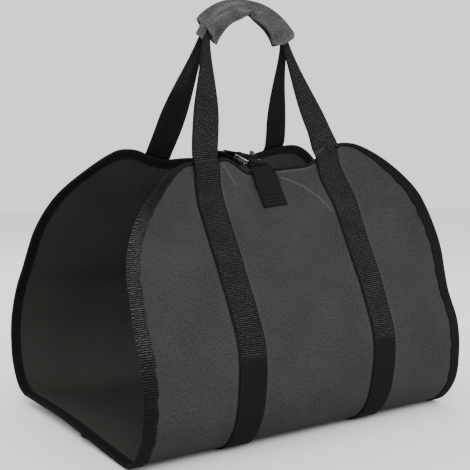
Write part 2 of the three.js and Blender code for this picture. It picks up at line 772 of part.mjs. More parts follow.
const canvasCloth = new THREE.MeshStandardMaterial({ color: 0x434343, roughness: 0.9, metalness: 0 });
const tape = new THREE.MeshStandardMaterial({ color: 0x17181a, roughness: 0.85, metalness: 0 });
const webbing = new THREE.MeshStandardMaterial({ color: 0x1f2022, roughness: 0.75, metalness: 0 });
const gripCloth = new THREE.MeshStandardMaterial({ color: 0x56575a, roughness: 0.9, metalness: 0 });
const ringFinish = new THREE.MeshStandardMaterial({ color: 0x202124, roughness: 0.2, metalness: 0.6 });
const tabCloth = new THREE.MeshStandardMaterial({ color: 0x6c6d6f, roughness: 0.8, metalness: 0 });

const bag = new THREE.Group();

function piece(name, geometry, material) {
  const mesh = new THREE.Mesh(geometry, material);
  mesh.name = name;
  bag.add(mesh);
}

piece("canvas_body", canvasGeometry(), canvasCloth);
piece("edge_binding", bindingGeometry(), tape);
piece("webbing_front", webbingGeometry(true), webbing);
piece("webbing_back", webbingGeometry(false), webbing);
piece("grip_wrap", gripGeometry(), gripCloth);
piece("grip_tab", tabGeometry(), gripCloth);
piece("closure_strap_front", frontClosureGeometry(), webbing);
piece("closure_strap_back", backClosureGeometry(), webbing);
piece("closure_ring", ringGeometry(), ringFinish);
piece("closure_tab", loopTabGeometry(), tabCloth);

export default bag;
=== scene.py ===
"""Firewood carrier bag: a canvas cradle with bound edges, webbing loops, a padded grip and a strap closure.

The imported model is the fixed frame. Every visible piece is worked out here in metres from the same
function of the canvas sheet that the solids follow, so the pieces lie where the solids do.
"""

import logging
import math
from dataclasses import dataclass, field
from enum import Enum
from functools import reduce

import bpy
import numpy as np
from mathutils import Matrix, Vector

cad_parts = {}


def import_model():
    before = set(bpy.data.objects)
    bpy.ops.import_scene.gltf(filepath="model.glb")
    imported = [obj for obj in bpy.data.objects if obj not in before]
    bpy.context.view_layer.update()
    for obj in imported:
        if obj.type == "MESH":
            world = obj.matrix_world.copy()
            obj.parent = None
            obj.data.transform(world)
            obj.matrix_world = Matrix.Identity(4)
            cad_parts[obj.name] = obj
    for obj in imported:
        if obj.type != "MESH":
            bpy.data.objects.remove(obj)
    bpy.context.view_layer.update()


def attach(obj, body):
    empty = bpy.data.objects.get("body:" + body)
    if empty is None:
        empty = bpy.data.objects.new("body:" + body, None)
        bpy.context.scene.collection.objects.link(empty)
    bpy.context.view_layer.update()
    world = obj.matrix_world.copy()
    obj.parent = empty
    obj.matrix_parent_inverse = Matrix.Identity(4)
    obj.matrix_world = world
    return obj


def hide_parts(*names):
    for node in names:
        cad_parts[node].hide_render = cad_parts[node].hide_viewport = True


LOG = logging.getLogger("firewood_carrier")
TAU = 2 * math.pi
Array = np.ndarray


# Small numeric helpers


def smooth(value: Array, start: float, end: float) -> Array:
    """Smooth step from 0 at start to 1 at end: 3t^2 - 2t^3 with t clamped."""
    t = np.clip((np.asarray(value, float) - start) / (end - start), 0, 1)
    return t * t * (3 - 2 * t)


def bell(value: Array, centre: float, half: float) -> Array:
    """Squared cosine that is 1 at centre and 0 from half away."""
    share = np.clip(np.abs(np.asarray(value, float) - centre) / half, 0, 1)
    return np.cos(math.pi / 2 * share) ** 2


def unit(v: Array) -> Array:
    """Vectors divided by their lengths."""
    return v / np.maximum(np.linalg.norm(v, axis=-1, keepdims=True), 1e-12)


def mix(a: Array, b: Array, t: Array) -> Array:
    """Linear mix of a and b by t."""
    return a + (b - a) * t


def arc_length(points: Array) -> Array:
    """Running length along rows of points."""
    steps = np.linalg.norm(np.diff(points, axis=0), axis=1)
    return np.concatenate([[0.0], np.cumsum(steps)])


def resample(points: Array, step: float) -> Array:
    """Even steps of length along a dense curve, by linear interpolation in length.

    Args:
        points: rows of points.
        step: the distance wanted between them.

    Returns:
        The new rows.
    """
    run = arc_length(points)
    count = max(2, int(round(run[-1] / step)) + 1)
    at = np.linspace(0, run[-1], count)
    return np.stack([np.interp(at, run, points[:, k]) for k in range(points.shape[1])], 1)


def tangents(points: Array) -> Array:
    """Unit headings along rows of points, by central differences."""
    return unit(np.gradient(points, axis=0))


# Meshes


@dataclass
class Surface:
    """Vertices, quads, flat coordinates, material number of each face and mark of each vertex.

    A mark from 0 to 1 tells the finish how strongly its ribs and its painted highlights show there; on the
    grip, marks below 0 paint shade.
    """

    verts: Array
    quads: Array
    flat: Array
    slots: Array
    marks: Array | None = None

    def all_marks(self) -> Array:
        """The marks, or ones where none were given."""
        return np.ones(len(self.verts)) if self.marks is None else self.marks

    def joined(self, other: "Surface") -> "Surface":
        """This surface and another as one.

        Args:
            other: the surface that follows.

        Returns:
            Both, the other's quads counted on.
        """
        shift = len(self.verts)
        return Surface(
            np.vstack([self.verts, other.verts]),
            np.vstack([self.quads, other.quads + shift]),
            np.vstack([self.flat, other.flat]),
            np.concatenate([self.slots, other.slots]),
            np.concatenate([self.all_marks(), other.all_marks()]),
        )


def grid_quads(rows: int, cols: int, wrap: bool = False) -> Array:
    """Quads between neighbours of a grid of vertices.

    Args:
        rows: how many rows it has.
        cols: how many columns it has.
        wrap: True where the last column meets the first.

    Returns:
        (quads, 4) vertex numbers.
    """
    last = cols if wrap else cols - 1
    i, j = np.meshgrid(np.arange(rows - 1), np.arange(last), indexing="ij")
    k = (j + 1) % cols
    quads = [i * cols + j, i * cols + k, (i + 1) * cols + k, (i + 1) * cols + j]
    return np.stack(quads, -1).reshape(-1, 4)


def sweep(rings: Array, flat: Array, closed: bool = False) -> Surface:
    """Closed body from rings of points carried along a path.

    Args:
        rings: (rows, section, 3) points, each ring a closed section.
        flat: (rows, section, 2) flat coordinates.
        closed: True where the last ring meets the first.

    Returns:
        The surface, its ends closed by fans of quads to a middle line where it is open.
    """
    rows, cols = rings.shape[:2]
    verts = rings.reshape(-1, 3)
    quads = grid_quads(rows, cols, wrap=True)
    if closed:
        j = np.arange(cols)
        base = (rows - 1) * cols
        seam = np.stack([base + j, base + (j + 1) % cols, (j + 1) % cols, j], -1)
        quads = np.vstack([quads, seam])
    else:
        quads = np.vstack([quads, *both_ends(rows, cols)])
    return Surface(verts, quads, flat.reshape(-1, 2), np.zeros(len(quads), int))


def end_quads(cols: int, base: int, turned: bool) -> Array:
    """Quads across a section of an even number of points, pairing each point with its opposite.

    Args:
        cols: the section's points.
        base: number of its first vertex.
        turned: True at the start of a body, whose end faces backwards.

    Returns:
        (quads, 4) vertex numbers.
    """
    half = cols // 2
    j = np.arange(half - 1)
    quads = np.stack([base + j, base + j + 1, base + cols - 2 - j, base + cols - 1 - j], -1)
    return quads if turned else quads[:, ::-1]


def both_ends(rows: int, cols: int) -> tuple[Array, Array]:
    """End quads of the first and the last ring."""
    return end_quads(cols, 0, True), end_quads(cols, (rows - 1) * cols, False)


def shell(outer: Array, inner: Array, flat: Array) -> Surface:
    """Thick sheet, closed round its rim.

    Args:
        outer: (rows, columns, 3) grid of its outer skin.
        inner: the same for its inner skin, whose faces get slot 1.
        flat: (rows, columns, 2) flat coordinates.

    Returns:
        The surface.
    """
    rows, cols = outer.shape[:2]
    count = rows * cols
    verts = np.vstack([outer.reshape(-1, 3), inner.reshape(-1, 3)])
    front = grid_quads(rows, cols)
    back = front[:, ::-1] + count
    i, j = np.arange(rows - 1), np.arange(cols - 1)
    rim = np.concatenate([j, i * cols + cols - 1, (rows - 1) * cols + j[::-1] + 1, (i[::-1] + 1) * cols])
    after = np.roll(rim, -1)
    wall = np.stack([after, rim, rim + count, after + count], -1)
    quads = np.vstack([front, back, wall])
    slots = np.concatenate([np.zeros(len(front), int), np.ones(len(back), int), np.zeros(len(wall), int)])
    uv = flat.reshape(-1, 2)
    return Surface(verts, quads, np.vstack([uv, uv]), slots)


def make_piece(name: str, surface: Surface, finishes: list, nodes: list[str]) -> bpy.types.Object:
    """Mesh object of a surface that rides on the carrier and stands for CAD nodes.

    Args:
        name: the piece's name.
        surface: its mesh.
        finishes: its materials in slot order.
        nodes: the CAD nodes that it stands for, or none.

    Returns:
        The object, at the origin.
    """
    mesh = bpy.data.meshes.new(name)
    quads = surface.quads
    mesh.vertices.add(len(surface.verts))
    mesh.vertices.foreach_set("co", surface.verts.astype(np.float32).ravel())
    mesh.loops.add(quads.size)
    mesh.loops.foreach_set("vertex_index", quads.astype(np.int32).ravel())
    mesh.polygons.add(len(quads))
    mesh.polygons.foreach_set("loop_start", np.arange(0, quads.size, 4, dtype=np.int32))
    mesh.polygons.foreach_set("loop_total", np.full(len(quads), 4, dtype=np.int32))
    mesh.polygons.foreach_set("material_index", surface.slots.astype(np.int32))
    mesh.polygons.foreach_set("use_smooth", np.ones(len(quads), dtype=bool))
    layer = mesh.uv_layers.new(name="flat")
    layer.data.foreach_set("uv", surface.flat[quads.ravel()].astype(np.float32).ravel())
    mark = mesh.attributes.new("mark", "FLOAT", "POINT")
    mark.data.foreach_set("value", surface.all_marks().astype(np.float32))
    mesh.update(calc_edges=True)
    mesh.validate()
    if signed_volume(surface) < 0:
        mesh.flip_normals()
    for finish in finishes:
        mesh.materials.append(finish)
    piece = bpy.data.objects.new(name, mesh)
    bpy.context.scene.collection.objects.link(piece)
    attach(piece, "root")
    if nodes:
        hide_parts(*nodes)
    LOG.info("%s: %d faces", name, len(quads))
    return piece


def signed_volume(surface: Surface) -> float:
    """Volume enclosed by the quads, negative where they face inwards."""
    a, b, c, d = (surface.verts[surface.quads[:, k]] for k in range(4))
    return float((np.cross(a, b) * c).sum() + (np.cross(a, c) * d).sum()) / 6


# The sheet that everything lies on


@dataclass(frozen=True)
class Layers:
    """Thicknesses and widths of the cloths, in metres, and the gap between them."""

    gap: float = 0.0003
    canvas: float = 0.0016
    tape: float = 0.001
    tape_width: float = 0.014
    webbing: float = 0.002
    webbing_width: float = 0.036

    @property
    def over_canvas(self) -> float:
        """Height of the first layer's seat above the sheet's middle."""
        return self.canvas / 2 + self.gap

    @property
    def over_tape(self) -> float:
        """Height of a band's seat where it crosses the binding."""
        return self.over_canvas + self.tape + self.gap

    @property
    def base(self) -> float:
        """Height of the sheet's middle above the floor under the load."""
        return self.over_canvas + max(self.webbing, self.tape)

    @property
    def half_webbing(self) -> float:
        """Half the webbing's width."""
        return self.webbing_width / 2


@dataclass(frozen=True)
class Ridge:
    """A soft ridge along a line, or a valley where its height is negative.

    Its ends are pairs that its user scales; its height and width are in metres.
    """

    start: tuple[float, float]
    end: tuple[float, float]
    height: float
    width: float

    def ends(self, scale: tuple[float, float]) -> tuple[Array, Array]:
        """Both ends in metres."""
        return np.array(self.start) * scale, np.array(self.end) * scale

    def at(self, x: Array, y: Array, scale: tuple[float, float]) -> tuple[Array, Array]:
        """Height over places near the line, height * exp(-(distance / width)^2).

        Args:
            x: first coordinate of the places, in metres.
            y: the second.
            scale: size of the unit of each coordinate.

        Returns:
            Each place's share along the line, and its height.
        """
        start, end = self.ends(scale)
        run = end - start
        dx, dy = x - start[0], y - start[1]
        along = np.clip((dx * run[0] + dy * run[1]) / (run @ run), 0, 1)
        away = np.hypot(dx - along * run[0], dy - along * run[1])
        return along, self.height * np.exp(-((away / self.width) ** 2))


# Side section from the front hem under the load to the back hem: out as a share of half the depth,
# up as a share of the hem's height
SECTION = np.array([
    (-0.435, 1.015), (-0.504, 0.878), (-0.566, 0.8), (-0.716, 0.625), (-0.859, 0.465),
    (-0.971, 0.34), (-1.0, 0.228), (-0.972, 0.11), (-0.885, 0.03), (-0.785, 0.0),
    (0.0, 0.0), (0.743, 0.0), (0.87, 0.033), (0.971, 0.125), (1.0, 0.228), (0.968, 0.343),
    (0.881, 0.465), (0.759, 0.553), (0.546, 0.725), (0.393, 0.834), (0.244, 0.928), (0.125, 1.02),
])


# Folds of the front panel, by x as a share of half the strap spacing and distance down from the hem as
# a share of the pull's reach
FOLDS = (
    Ridge((-0.7, 0.0), (-0.58, 0.46), 0.004, 0.010),
    Ridge((0.29, 0.17), (0.67, 0.75), 0.0045, 0.013),
)
# Finer creases and hollows by the same shares; the first ones, counted below, get lighter crest lines:
# painted highlight, partly rubbed wear
PAINTED_CRESTS = 5
CREASES = (
    Ridge((-0.79, 0.0), (-0.70, 0.23), 0.0012, 0.0026),
    Ridge((-0.70, 0.23), (-0.595, 0.435), 0.0015, 0.0026),
    Ridge((0.236, 0.20), (0.52, 0.444), 0.0014, 0.0030),
    Ridge((0.52, 0.444), (0.698, 0.715), 0.0013, 0.0032),
    Ridge((0.698, 0.715), (0.824, 1.068), 0.0010, 0.0032),
    Ridge((-0.25, 0.30), (-0.46, 1.55), -0.0048, 0.011),
    Ridge((-0.12, 0.9), (-0.2, 1.7), 0.0012, 0.008),
    Ridge((-0.62, 0.02), (-0.50, 0.40), -0.0022, 0.005),
)


@dataclass
class CanvasSheet:
    """The canvas as one function of x across and s along it, from the front hem to the back hem."""

    layers: Layers = field(default_factory=Layers)
    width: float = 0.46
    depth: float = 0.377
    hem_height: float = 0.32
    corner_drop: float = 0.15
    corner_power: float = 1.8
    hem_margin: float = 0.008
    strap_spacing: float = 0.195
    corner_flare: float = 0.06
    corner_curl: float = 0.02
    flare_start: float = 0.3
    top_tilt: float = 0.012
    tilt_limit: float = 1.45
    top_sway: float = 0.007
    front_pull: float = 0.018
    front_sag: float = 0.022
    sag_centre: float = 0.022
    sag_flat: float = 0.04
    sag_half: float = 0.095
    back_pull: float = 0.012
    back_sag: float = 0.009
    back_raise: float = 0.025
    pull_reach: float = 0.07
    sag_reach: float = 0.2
    end_lift: float = 0.012
    swell: float = 0.0006
    drift_high: tuple[float, float] = (0.0035, 0.006)
    drift_low: tuple[float, float] = (0.009, 0.0125)
    halo_width: float = 0.003
    columns: int = 168
    corner_rows: int = 34
    row_step: float = 0.0037

    def __post_init__(self) -> None:
        """Works out the dense side section and its length."""
        rows = SECTION * [self.depth / 2, self.hem_height]
        dense = centripetal(rows, 120)
        dense[:, 1] = np.maximum(dense[:, 1], 0)
        self.section = dense
        self.section_run = arc_length(dense)
        self.length = float(self.section_run[-1])
        flat_part = (self.section_run > 0.3 * self.length) & (self.section_run < 0.7 * self.length)
        at = np.argmin(np.where(flat_part, np.abs(dense[:, 0]), 9))
        self.middle = float(self.section_run[at] - dense[at, 0])

    @property
    def strap_x(self) -> float:
        """Distance of each strap's centre line from the middle."""
        return self.strap_spacing / 2

    @property
    def strap_inner(self) -> float:
        """Inner edge of a strap."""
        return self.strap_x - self.layers.half_webbing

    @property
    def strap_outer(self) -> float:
        """Outer edge of a strap."""
        return self.strap_x + self.layers.half_webbing

    @property
    def fold_scale(self) -> tuple[float, float]:
        """Units of the places of folds, across and down."""
        return self.strap_x, self.pull_reach

    @property
    def hem_half(self) -> float:
        """Half the hem's length between the cut corners."""
        return self.strap_outer + self.hem_margin

    def relief(self, x: Array, down: Array, folds: tuple[Ridge, ...]) -> Array:
        """Height of folds, which sink to two fifths at their far ends.

        Args:
            x: places across.
            down: their distances from the hem.
            folds: the ridges and valleys.

        Returns:
            Metres outwards.
        """
        total = np.zeros(np.broadcast(x, down).shape)
        for fold in folds:
            along, height = fold.at(x, down, self.fold_scale)
            total = total + height * (1 - 0.6 * along)
        return total

    def slack(self, x: Array, s: Array) -> Array:
        """Low swells of loose cloth: three crossed sine waves with wavelengths of 90 to 170 mm.

        Args:
            x: places across.
            s: places along.

        Returns:
            Metres outwards, less beside the straps.
        """
        waves = (
            np.sin(TAU * (x / 0.118 + 0.3) + 1.9 * np.sin(TAU * s / 0.31))
            + np.sin(TAU * (s / 0.092 + x / 0.45 + 0.15))
            + 0.8 * np.sin(TAU * (x / 0.171 - s / 0.143 + 0.6))
        )
        tense = bell(np.abs(x), self.strap_x, 0.045)
        return self.swell * waves * (1 - 0.8 * tense)

    def point(self, x: Array, s: Array) -> Array:
        """Middle of the canvas: the side section at length s, leaned, flared and drawn in.

        Args:
            x: places across.
            s: places along, from the front hem.

        Returns:
            (..., 3) points.
        """
        x, s = np.broadcast_arrays(np.asarray(x, float), np.asarray(s, float))
        y = np.interp(s, self.section_run, self.section[:, 0])
        z = np.interp(s, self.section_run, self.section[:, 1])
        front = s < self.middle
        down = np.where(front, s, self.length - s)
        rise = z / self.hem_height
        wing = np.clip((np.abs(x) - self.strap_outer) / (self.width / 2 - self.strap_outer), 0, 1) ** 1.1
        flare = np.clip((rise - self.flare_start) / (1 - self.flare_start), 0, 1)
        across = np.clip(x / self.strap_x, -self.tilt_limit, self.tilt_limit)
        middle_bell = bell(x, 0, self.strap_inner)
        pull = np.clip(1 - down / self.pull_reach, 0, 1) ** 2 * middle_bell
        sag = np.clip(1 - down / self.sag_reach, 0, 1) ** 1.5
        plateau = 1 - smooth(np.abs(x - self.sag_centre), self.sag_flat, self.sag_half)
        upper = smooth(rise, 0.35, 1)
        y_front = (y + self.front_pull * pull - self.corner_flare * wing * flare**1.5
                   - self.relief(x, down, FOLDS) - self.relief(x, down, CREASES))
        z_front = z - self.front_sag * sag * plateau
        y_back = y - self.back_pull * pull - self.corner_curl * wing * flare
        z_back = (z - self.back_sag * sag * bell(x, self.sag_centre, self.sag_half)
                  + self.back_raise * smooth(-x, self.strap_inner, 1.65 * self.strap_x) * upper)
        y = np.where(front, y_front, y_back) + self.top_sway * across * smooth(rise, 0.8, 1)
        z = np.where(front, z_front, z_back) + self.top_tilt * across * upper
        lift = smooth(-x, self.strap_outer, self.width / 2) * np.clip(1 - rise, 0, 1) ** 2
        z = z + self.end_lift * lift * smooth(y, -0.45 * self.depth, 0.15 * self.depth)
        wall = smooth(rise, 0.03, 0.2)
        y = y - np.where(front, 1.0, -1.0) * self.slack(x, s) * wall
        return np.stack([x, y, z + self.layers.base], -1)

    def track(self, x: float, s: Array) -> Array:
        """Line that a side strap keeps on the front panel, a few millimetres off straight.

        Args:
            x: where it is sewn.
            s: places along.

        Returns:
            x and what it drifts there: to the right high on the panel and back again low on it.
        """
        s = np.asarray(s, float)
        if abs(x) <= self.layers.half_webbing:
            return x + 0 * s
        right = int(x > 0)
        high = self.drift_high[right] * smooth(s, 0.015, 0.08)
        low = self.drift_low[right] * smooth(s, 0.17, 0.31)
        return x + (1 - smooth(s, 0.40, 0.47)) * (high - low)

    def frame(self, x: Array, s: Array) -> tuple[Array, Array, Array, Array]:
        """The sheet's own directions, by differences of half a millimetre.

        Args:
            x: places across.
            s: places along.

        Returns:
            Point, outward normal, across and along directions.
        """
        e = 0.0005
        x, s = np.broadcast_arrays(np.asarray(x, float), np.asarray(s, float))
        low, high = np.maximum(s - e, 0), np.minimum(s + e, self.length)
        across = unit(self.point(x + e, s) - self.point(x - e, s))
        along = unit(self.point(x, high) - self.point(x, low))
        return self.point(x, s), unit(np.cross(along, across)), across, along

    def corner(self, turn: Array) -> tuple[Array, Array, Array]:
        """Cut corner as a quarter of a superellipse.

        Args:
            turn: angles from 0 on the hem to a right angle on the side.

        Returns:
            x of the cut edge, its distance down from the hem, and the flat outward direction there.
        """
        power = self.corner_power
        sx = np.sin(turn) ** (2 / power)
        sy = np.clip(np.cos(turn), 0, 1) ** (2 / power)
        run = self.width / 2 - self.hem_half
        out = unit(np.stack([sx ** (power - 1) / run, -(sy ** (power - 1)) / self.corner_drop], -1))
        return self.hem_half + run * sx, self.corner_drop * (1 - sy), out

    def build(self, finishes: list) -> bpy.types.Object:
        """The canvas as a fine thick sheet.

        Args:
            finishes: materials of its outer and its inner skin.

        Returns:
            The piece, its marks a bell beside each strap: a painted highlight along the strap's edges.
        """
        turn = np.linspace(0, math.pi / 2, self.corner_rows)
        half, down, _ = self.corner(turn)
        count = int((self.length - 2 * self.corner_drop) / self.row_step)
        straight = np.linspace(self.corner_drop, self.length - self.corner_drop, count)[1:-1]
        rows = np.concatenate([down, straight, self.length - down[::-1]])
        halves = np.concatenate([half, np.full(len(straight), self.width / 2), half[::-1]])
        even = np.linspace(-1, 1, self.columns)
        share = 0.55 * even + 0.45 * np.sign(even) * np.abs(even) ** 2.2
        x = halves[:, None] * share[None, :]
        s = np.repeat(rows[:, None], self.columns, 1)
        point, normal, _, _ = self.frame(x, s)
        t = self.layers.canvas / 2
        surface = shell(point + normal * t, point - normal * t, np.stack([x, s], -1))
        # Painted highlight: a bell of lighter cloth just outside each strap's edge.
        crest = self.layers.half_webbing + self.halo_width / 3
        beside = np.zeros(x.shape)
        for strap in (-self.strap_x, self.strap_x):
            beside += np.exp(-(((np.abs(x - self.track(strap, s)) - crest) / self.halo_width) ** 2))
        surface.marks = np.concatenate([beside.ravel(), beside.ravel()])
        return make_piece("canvas_sheet", surface, finishes, ["canvas_body"])


def centripetal(rows: Array, steps: int) -> Array:
    """Centripetal Catmull-Rom curve through rows of points.

    Each span is the cubic whose end slopes are those of the unevenly spaced spline with knots at the
    square roots of the distances; the ends run on straight.

    Args:
        rows: the points.
        steps: how many points each span gets.

    Returns:
        Dense rows, the last point included.
    """
    ends = np.vstack([2 * rows[0] - rows[1], rows, 2 * rows[-1] - rows[-2]])
    p0, p1, p2, p3 = ends[:-3], ends[1:-2], ends[2:-1], ends[3:]
    spans = ((p0, p1), (p1, p2), (p2, p3))
    d0, d1, d2 = (np.sqrt(np.linalg.norm(b - a, axis=1))[:, None] for a, b in spans)
    m1 = ((p1 - p0) / d0 - (p2 - p0) / (d0 + d1) + (p2 - p1) / d1) * d1
    m2 = ((p2 - p1) / d1 - (p3 - p1) / (d1 + d2) + (p3 - p2) / d2) * d1
    t = np.linspace(0, 1, steps, endpoint=False)[None, :, None]
    c2 = -3 * p1 + 3 * p2 - 2 * m1 - m2
    c3 = 2 * p1 - 2 * p2 + m1 + m2
    body = p1[:, None] + m1[:, None] * t + c2[:, None] * t**2 + c3[:, None] * t**3
    return np.vstack([body.reshape(-1, rows.shape[1]), rows[-1:]])


# Stitches


@dataclass(frozen=True)
class Thread:
    """A row's pitch, the length of its stitches and the thread's radius, in metres."""

    pitch: float
    length: float
    radius: float


BINDING_THREAD = Thread(0.0046, 0.0034, 0.00035)
ROW_THREAD = Thread(0.0034, 0.0031, 0.0008)
EDGE_THREAD = Thread(0.0040, 0.0030, 0.0003)
GRIP_THREAD = Thread(0.0034, 0.0026, 0.00034)
# How far rows of stitches stand off the cloth
STAND = 0.0001


def stitch_run(places: Array, normals: Array, thread: Thread) -> Surface:
    """Row of stitches as small closed grains.

    Each grain is a section of six points carried over five stations, sunk at both ends and standing
    proud in its middle.

    Args:
        places: rows of points on the cloth.
        normals: the cloth's outward directions there.
        thread: the row's sizes.

    Returns:
        All the grains of the row.
    """
    run = arc_length(places)
    count = max(1, int(run[-1] / thread.pitch))
    centres = (np.arange(count) + 0.5) * (run[-1] / count)

    def at(values: Array, where: Array) -> Array:
        """Values at lengths along the row."""
        return np.stack([np.interp(where, run, values[:, k]) for k in range(3)], -1)

    stations = np.array([-0.5, -0.36, 0.0, 0.36, 0.5])
    lift = np.array([-0.9, 0.0, 0.35, 0.0, -0.9]) * thread.radius
    thick = np.array([0.35, 0.9, 1.0, 0.9, 0.35]) * thread.radius
    where = centres[:, None] + stations[None, :] * thread.length
    spot = at(places, where)
    up = unit(at(normals, where))
    ahead = 0.0004
    head = unit(at(places, where + ahead) - at(places, where - ahead))
    side = unit(np.cross(up, head))
    rows, cols = len(stations), 6
    turn = np.arange(cols) * TAU / cols
    rings = (
        (spot + up * lift[None, :, None])[:, :, None]
        + side[:, :, None] * (np.cos(turn) * thick[:, None])[None, :, :, None]
        + up[:, :, None] * (np.sin(turn) * thick[:, None] * 0.8)[None, :, :, None]
    )
    one = np.vstack([grid_quads(rows, cols, wrap=True), *both_ends(rows, cols)])
    quads = (one[None] + (np.arange(count) * rows * cols)[:, None, None]).reshape(-1, 4)
    verts = rings.reshape(-1, 3)
    return Surface(verts, quads, np.zeros((len(verts), 2)), np.zeros(len(quads), int))


def join_all(parts: list[Surface]) -> Surface:
    """Several surfaces as one."""
    return reduce(Surface.joined, parts)


# The binding


# A face of the folded tape: distance in from the cloth's edge and height, as shares of its sizes
FACE = ((1.0, 0.72), (0.93, 0.98), (0.7, 1.0), (0.35, 1.04), (0.0, 1.04))


@dataclass
class EdgeBinding:
    """Folded tape round the sheet's whole edge, wide on the sides and narrow on the front hem."""

    sheet: CanvasSheet
    hem_width: float = 0.0035
    inner_width: float = 0.011
    step: float = 0.003
    pucker: float = 0.00035
    stitch_inset: float = 0.0025
    lap_place: float = -0.048
    lap_size: float = 0.0028
    lap_half: float = 0.006
    painted_light_least: float = 0.14

    def edge(self) -> tuple[Array, Array, Array, Array]:
        """The sheet's cut edge, from the front hem round and back to it.

        Returns:
            Its flat places, their outward flat directions, the tape's outer width and the running length.
        """
        sheet = self.sheet
        turn = np.linspace(0, math.pi / 2, 60)
        cx, cd, out = sheet.corner(turn)
        hem = np.linspace(-sheet.hem_half, sheet.hem_half, int(2 * sheet.hem_half / self.step))[1:-1]
        side = np.arange(sheet.corner_drop + self.step, sheet.length - sheet.corner_drop, self.step)
        front_hem = np.stack([hem, np.zeros_like(hem)], -1)
        right = np.vstack([
            np.stack([cx, cd], -1),
            np.stack([np.full_like(side, sheet.width / 2), side], -1),
            np.stack([cx, sheet.length - cd], -1)[::-1],
        ])
        right_out = np.vstack([out, np.tile([1.0, 0.0], (len(side), 1)), (out * [1, -1])[::-1]])
        back_hem = np.stack([hem[::-1], np.full_like(hem, sheet.length)], -1)
        left, left_out = right[::-1] * [-1, 1], right_out[::-1] * [-1, 1]
        hem_out = np.tile([0.0, -1.0], (len(hem), 1))
        places = np.vstack([front_hem, right, back_hem, left])
        outs = np.vstack([hem_out, right_out, -hem_out, left_out])
        run = np.concatenate([[0], np.cumsum(np.hypot(*np.diff(places, axis=0).T))])
        widen = smooth(np.abs(places[:, 0]), sheet.hem_half * 0.99, sheet.width / 2 * 0.93)
        on_front = places[:, 1] < sheet.middle
        uneven = 0.0006 * np.sin(TAU * run / 0.027) + 0.0004 * np.sin(TAU * run / 0.0171)
        full = sheet.layers.tape_width + uneven
        width = np.where(on_front, mix(self.hem_width, full, widen), full)
        return places, outs, width, run

    def build(self, finish: object, thread: object) -> list[bpy.types.Object]:
        """The tape as a swept folded section, and its row of stitches on both faces.

        The section runs over the outer face by FACE, round the cloth's edge, over the inner face and back
        along the cloth. Small sine waves pucker it.

        Args:
            finish: the tape's material.
            thread: the stitches' material.

        Returns:
            The tape and its stitches.
        """
        places, outs, width, run = self.edge()
        layers = self.sheet.layers
        top = layers.over_canvas + layers.tape
        seat = layers.over_canvas

        def at(inset: Array) -> tuple[Array, Array]:
            """Points and normals of the sheet at distances in from its edge."""
            flat = places - outs * np.asarray(inset)[..., None]
            point, normal, _, _ = self.sheet.frame(flat[:, 0], flat[:, 1])
            return point, normal

        edge_point, edge_normal = at(np.zeros(len(places)))
        near_point, _ = at(np.full(len(places), 0.003))
        away = unit(edge_point - near_point)
        inner_width = np.full_like(width, self.inner_width)
        wave = self.pucker * (np.sin(TAU * run / 0.013) + 0.6 * np.sin(TAU * run / 0.0081 + 1.0))
        low = (edge_point[:, 0] < -0.2) & (edge_point[:, 2] < 0.03)
        lap = self.lap_size * low * np.exp(-(((edge_point[:, 1] - self.lap_place) / self.lap_half) ** 2))
        section: list[Array] = []
        across: list[Array] = []

        def add(inset: Array, height: Array, outward: float) -> None:
            """Next line of the section.

            Args:
                inset: its distance in from the edge.
                height: its height off the sheet's middle.
                outward: how far it stands out past the edge.
            """
            point, normal = at(inset)
            push = (outward + lap * (outward > 0))[..., None]
            section.append(point + normal * np.asarray(height)[..., None] + away * push)
            across.append(np.asarray(inset) + 0 * run)

        ones = np.ones(len(places))
        for share, lift in FACE:
            add(width * share, top * lift + wave * share**2, 0.0)
        reach = layers.gap + layers.tape
        for turn in (0.25, 0.5, 0.75):
            lean = math.cos(math.pi * turn) * top * 1.02
            add(0 * ones, lean * ones, reach * math.sin(math.pi * turn) ** 0.6)
        for share, lift in FACE[::-1]:
            add(inner_width * share, -(top * lift + np.abs(wave) * share**2 * 0.5), 0.0)
        add(inner_width, -seat * ones, 0.0)
        add(0 * ones, -seat * ones, layers.gap)
        add(0 * ones, seat * ones, layers.gap)
        add(width, seat * ones, 0.0)
        rings = np.stack(section, 1)
        flat = np.stack([np.stack(across, 1), np.repeat(run[:, None], len(section), 1)], -1)
        surface = sweep(rings, flat, closed=True)
        x, y, z = edge_point.T
        # Painted light: the tape's light crest dashes show fully on the front-left side at mid height,
        # where the key light falls, and stay faint elsewhere as painted shade.
        height = smooth(z, 0.08, 0.15) * (1 - smooth(z, 0.23, 0.29))
        painted_lit = mix(self.painted_light_least, 1, smooth(-x, 0.12, 0.19) * smooth(-y, 0.0, 0.05) * height)
        surface.marks = np.repeat(painted_lit[:, None], rings.shape[1], 1).reshape(-1)
        tape = make_piece("binding_tape", surface, [finish], ["edge_binding"])
        rows = []
        loop = np.concatenate([np.arange(len(places)), [0]])
        for sign, inset in ((1, width - self.stitch_inset), (-1, inner_width - self.stitch_inset)):
            point, normal = at(np.maximum(inset, 0.0012))
            line = point + normal * sign * (top + STAND)
            rows.append(stitch_run(line[loop], sign * normal[loop], BINDING_THREAD))
        seam = make_piece("binding_stitches", join_all(rows), [thread], [])
        return [tape, seam]


# Webbing


@dataclass(frozen=True)
class BandShape:
    """How a band's section and ribs are drawn, in metres; a rib takes rows_per_rib rows."""

    rib_pitch: float = 0.0024
    rows_per_rib: int = 4
    rib_height: float = 0.0003
    pleat_height: float = 0.0007
    shares: tuple[float, ...] = (-1, -0.96, -0.82, -0.55, -0.28, 0, 0.28, 0.55, 0.82, 0.96, 1)
    edge: tuple[float, ...] = (0.4, 0.88, 1, 1, 1, 1, 1, 1, 1, 0.88, 0.4)


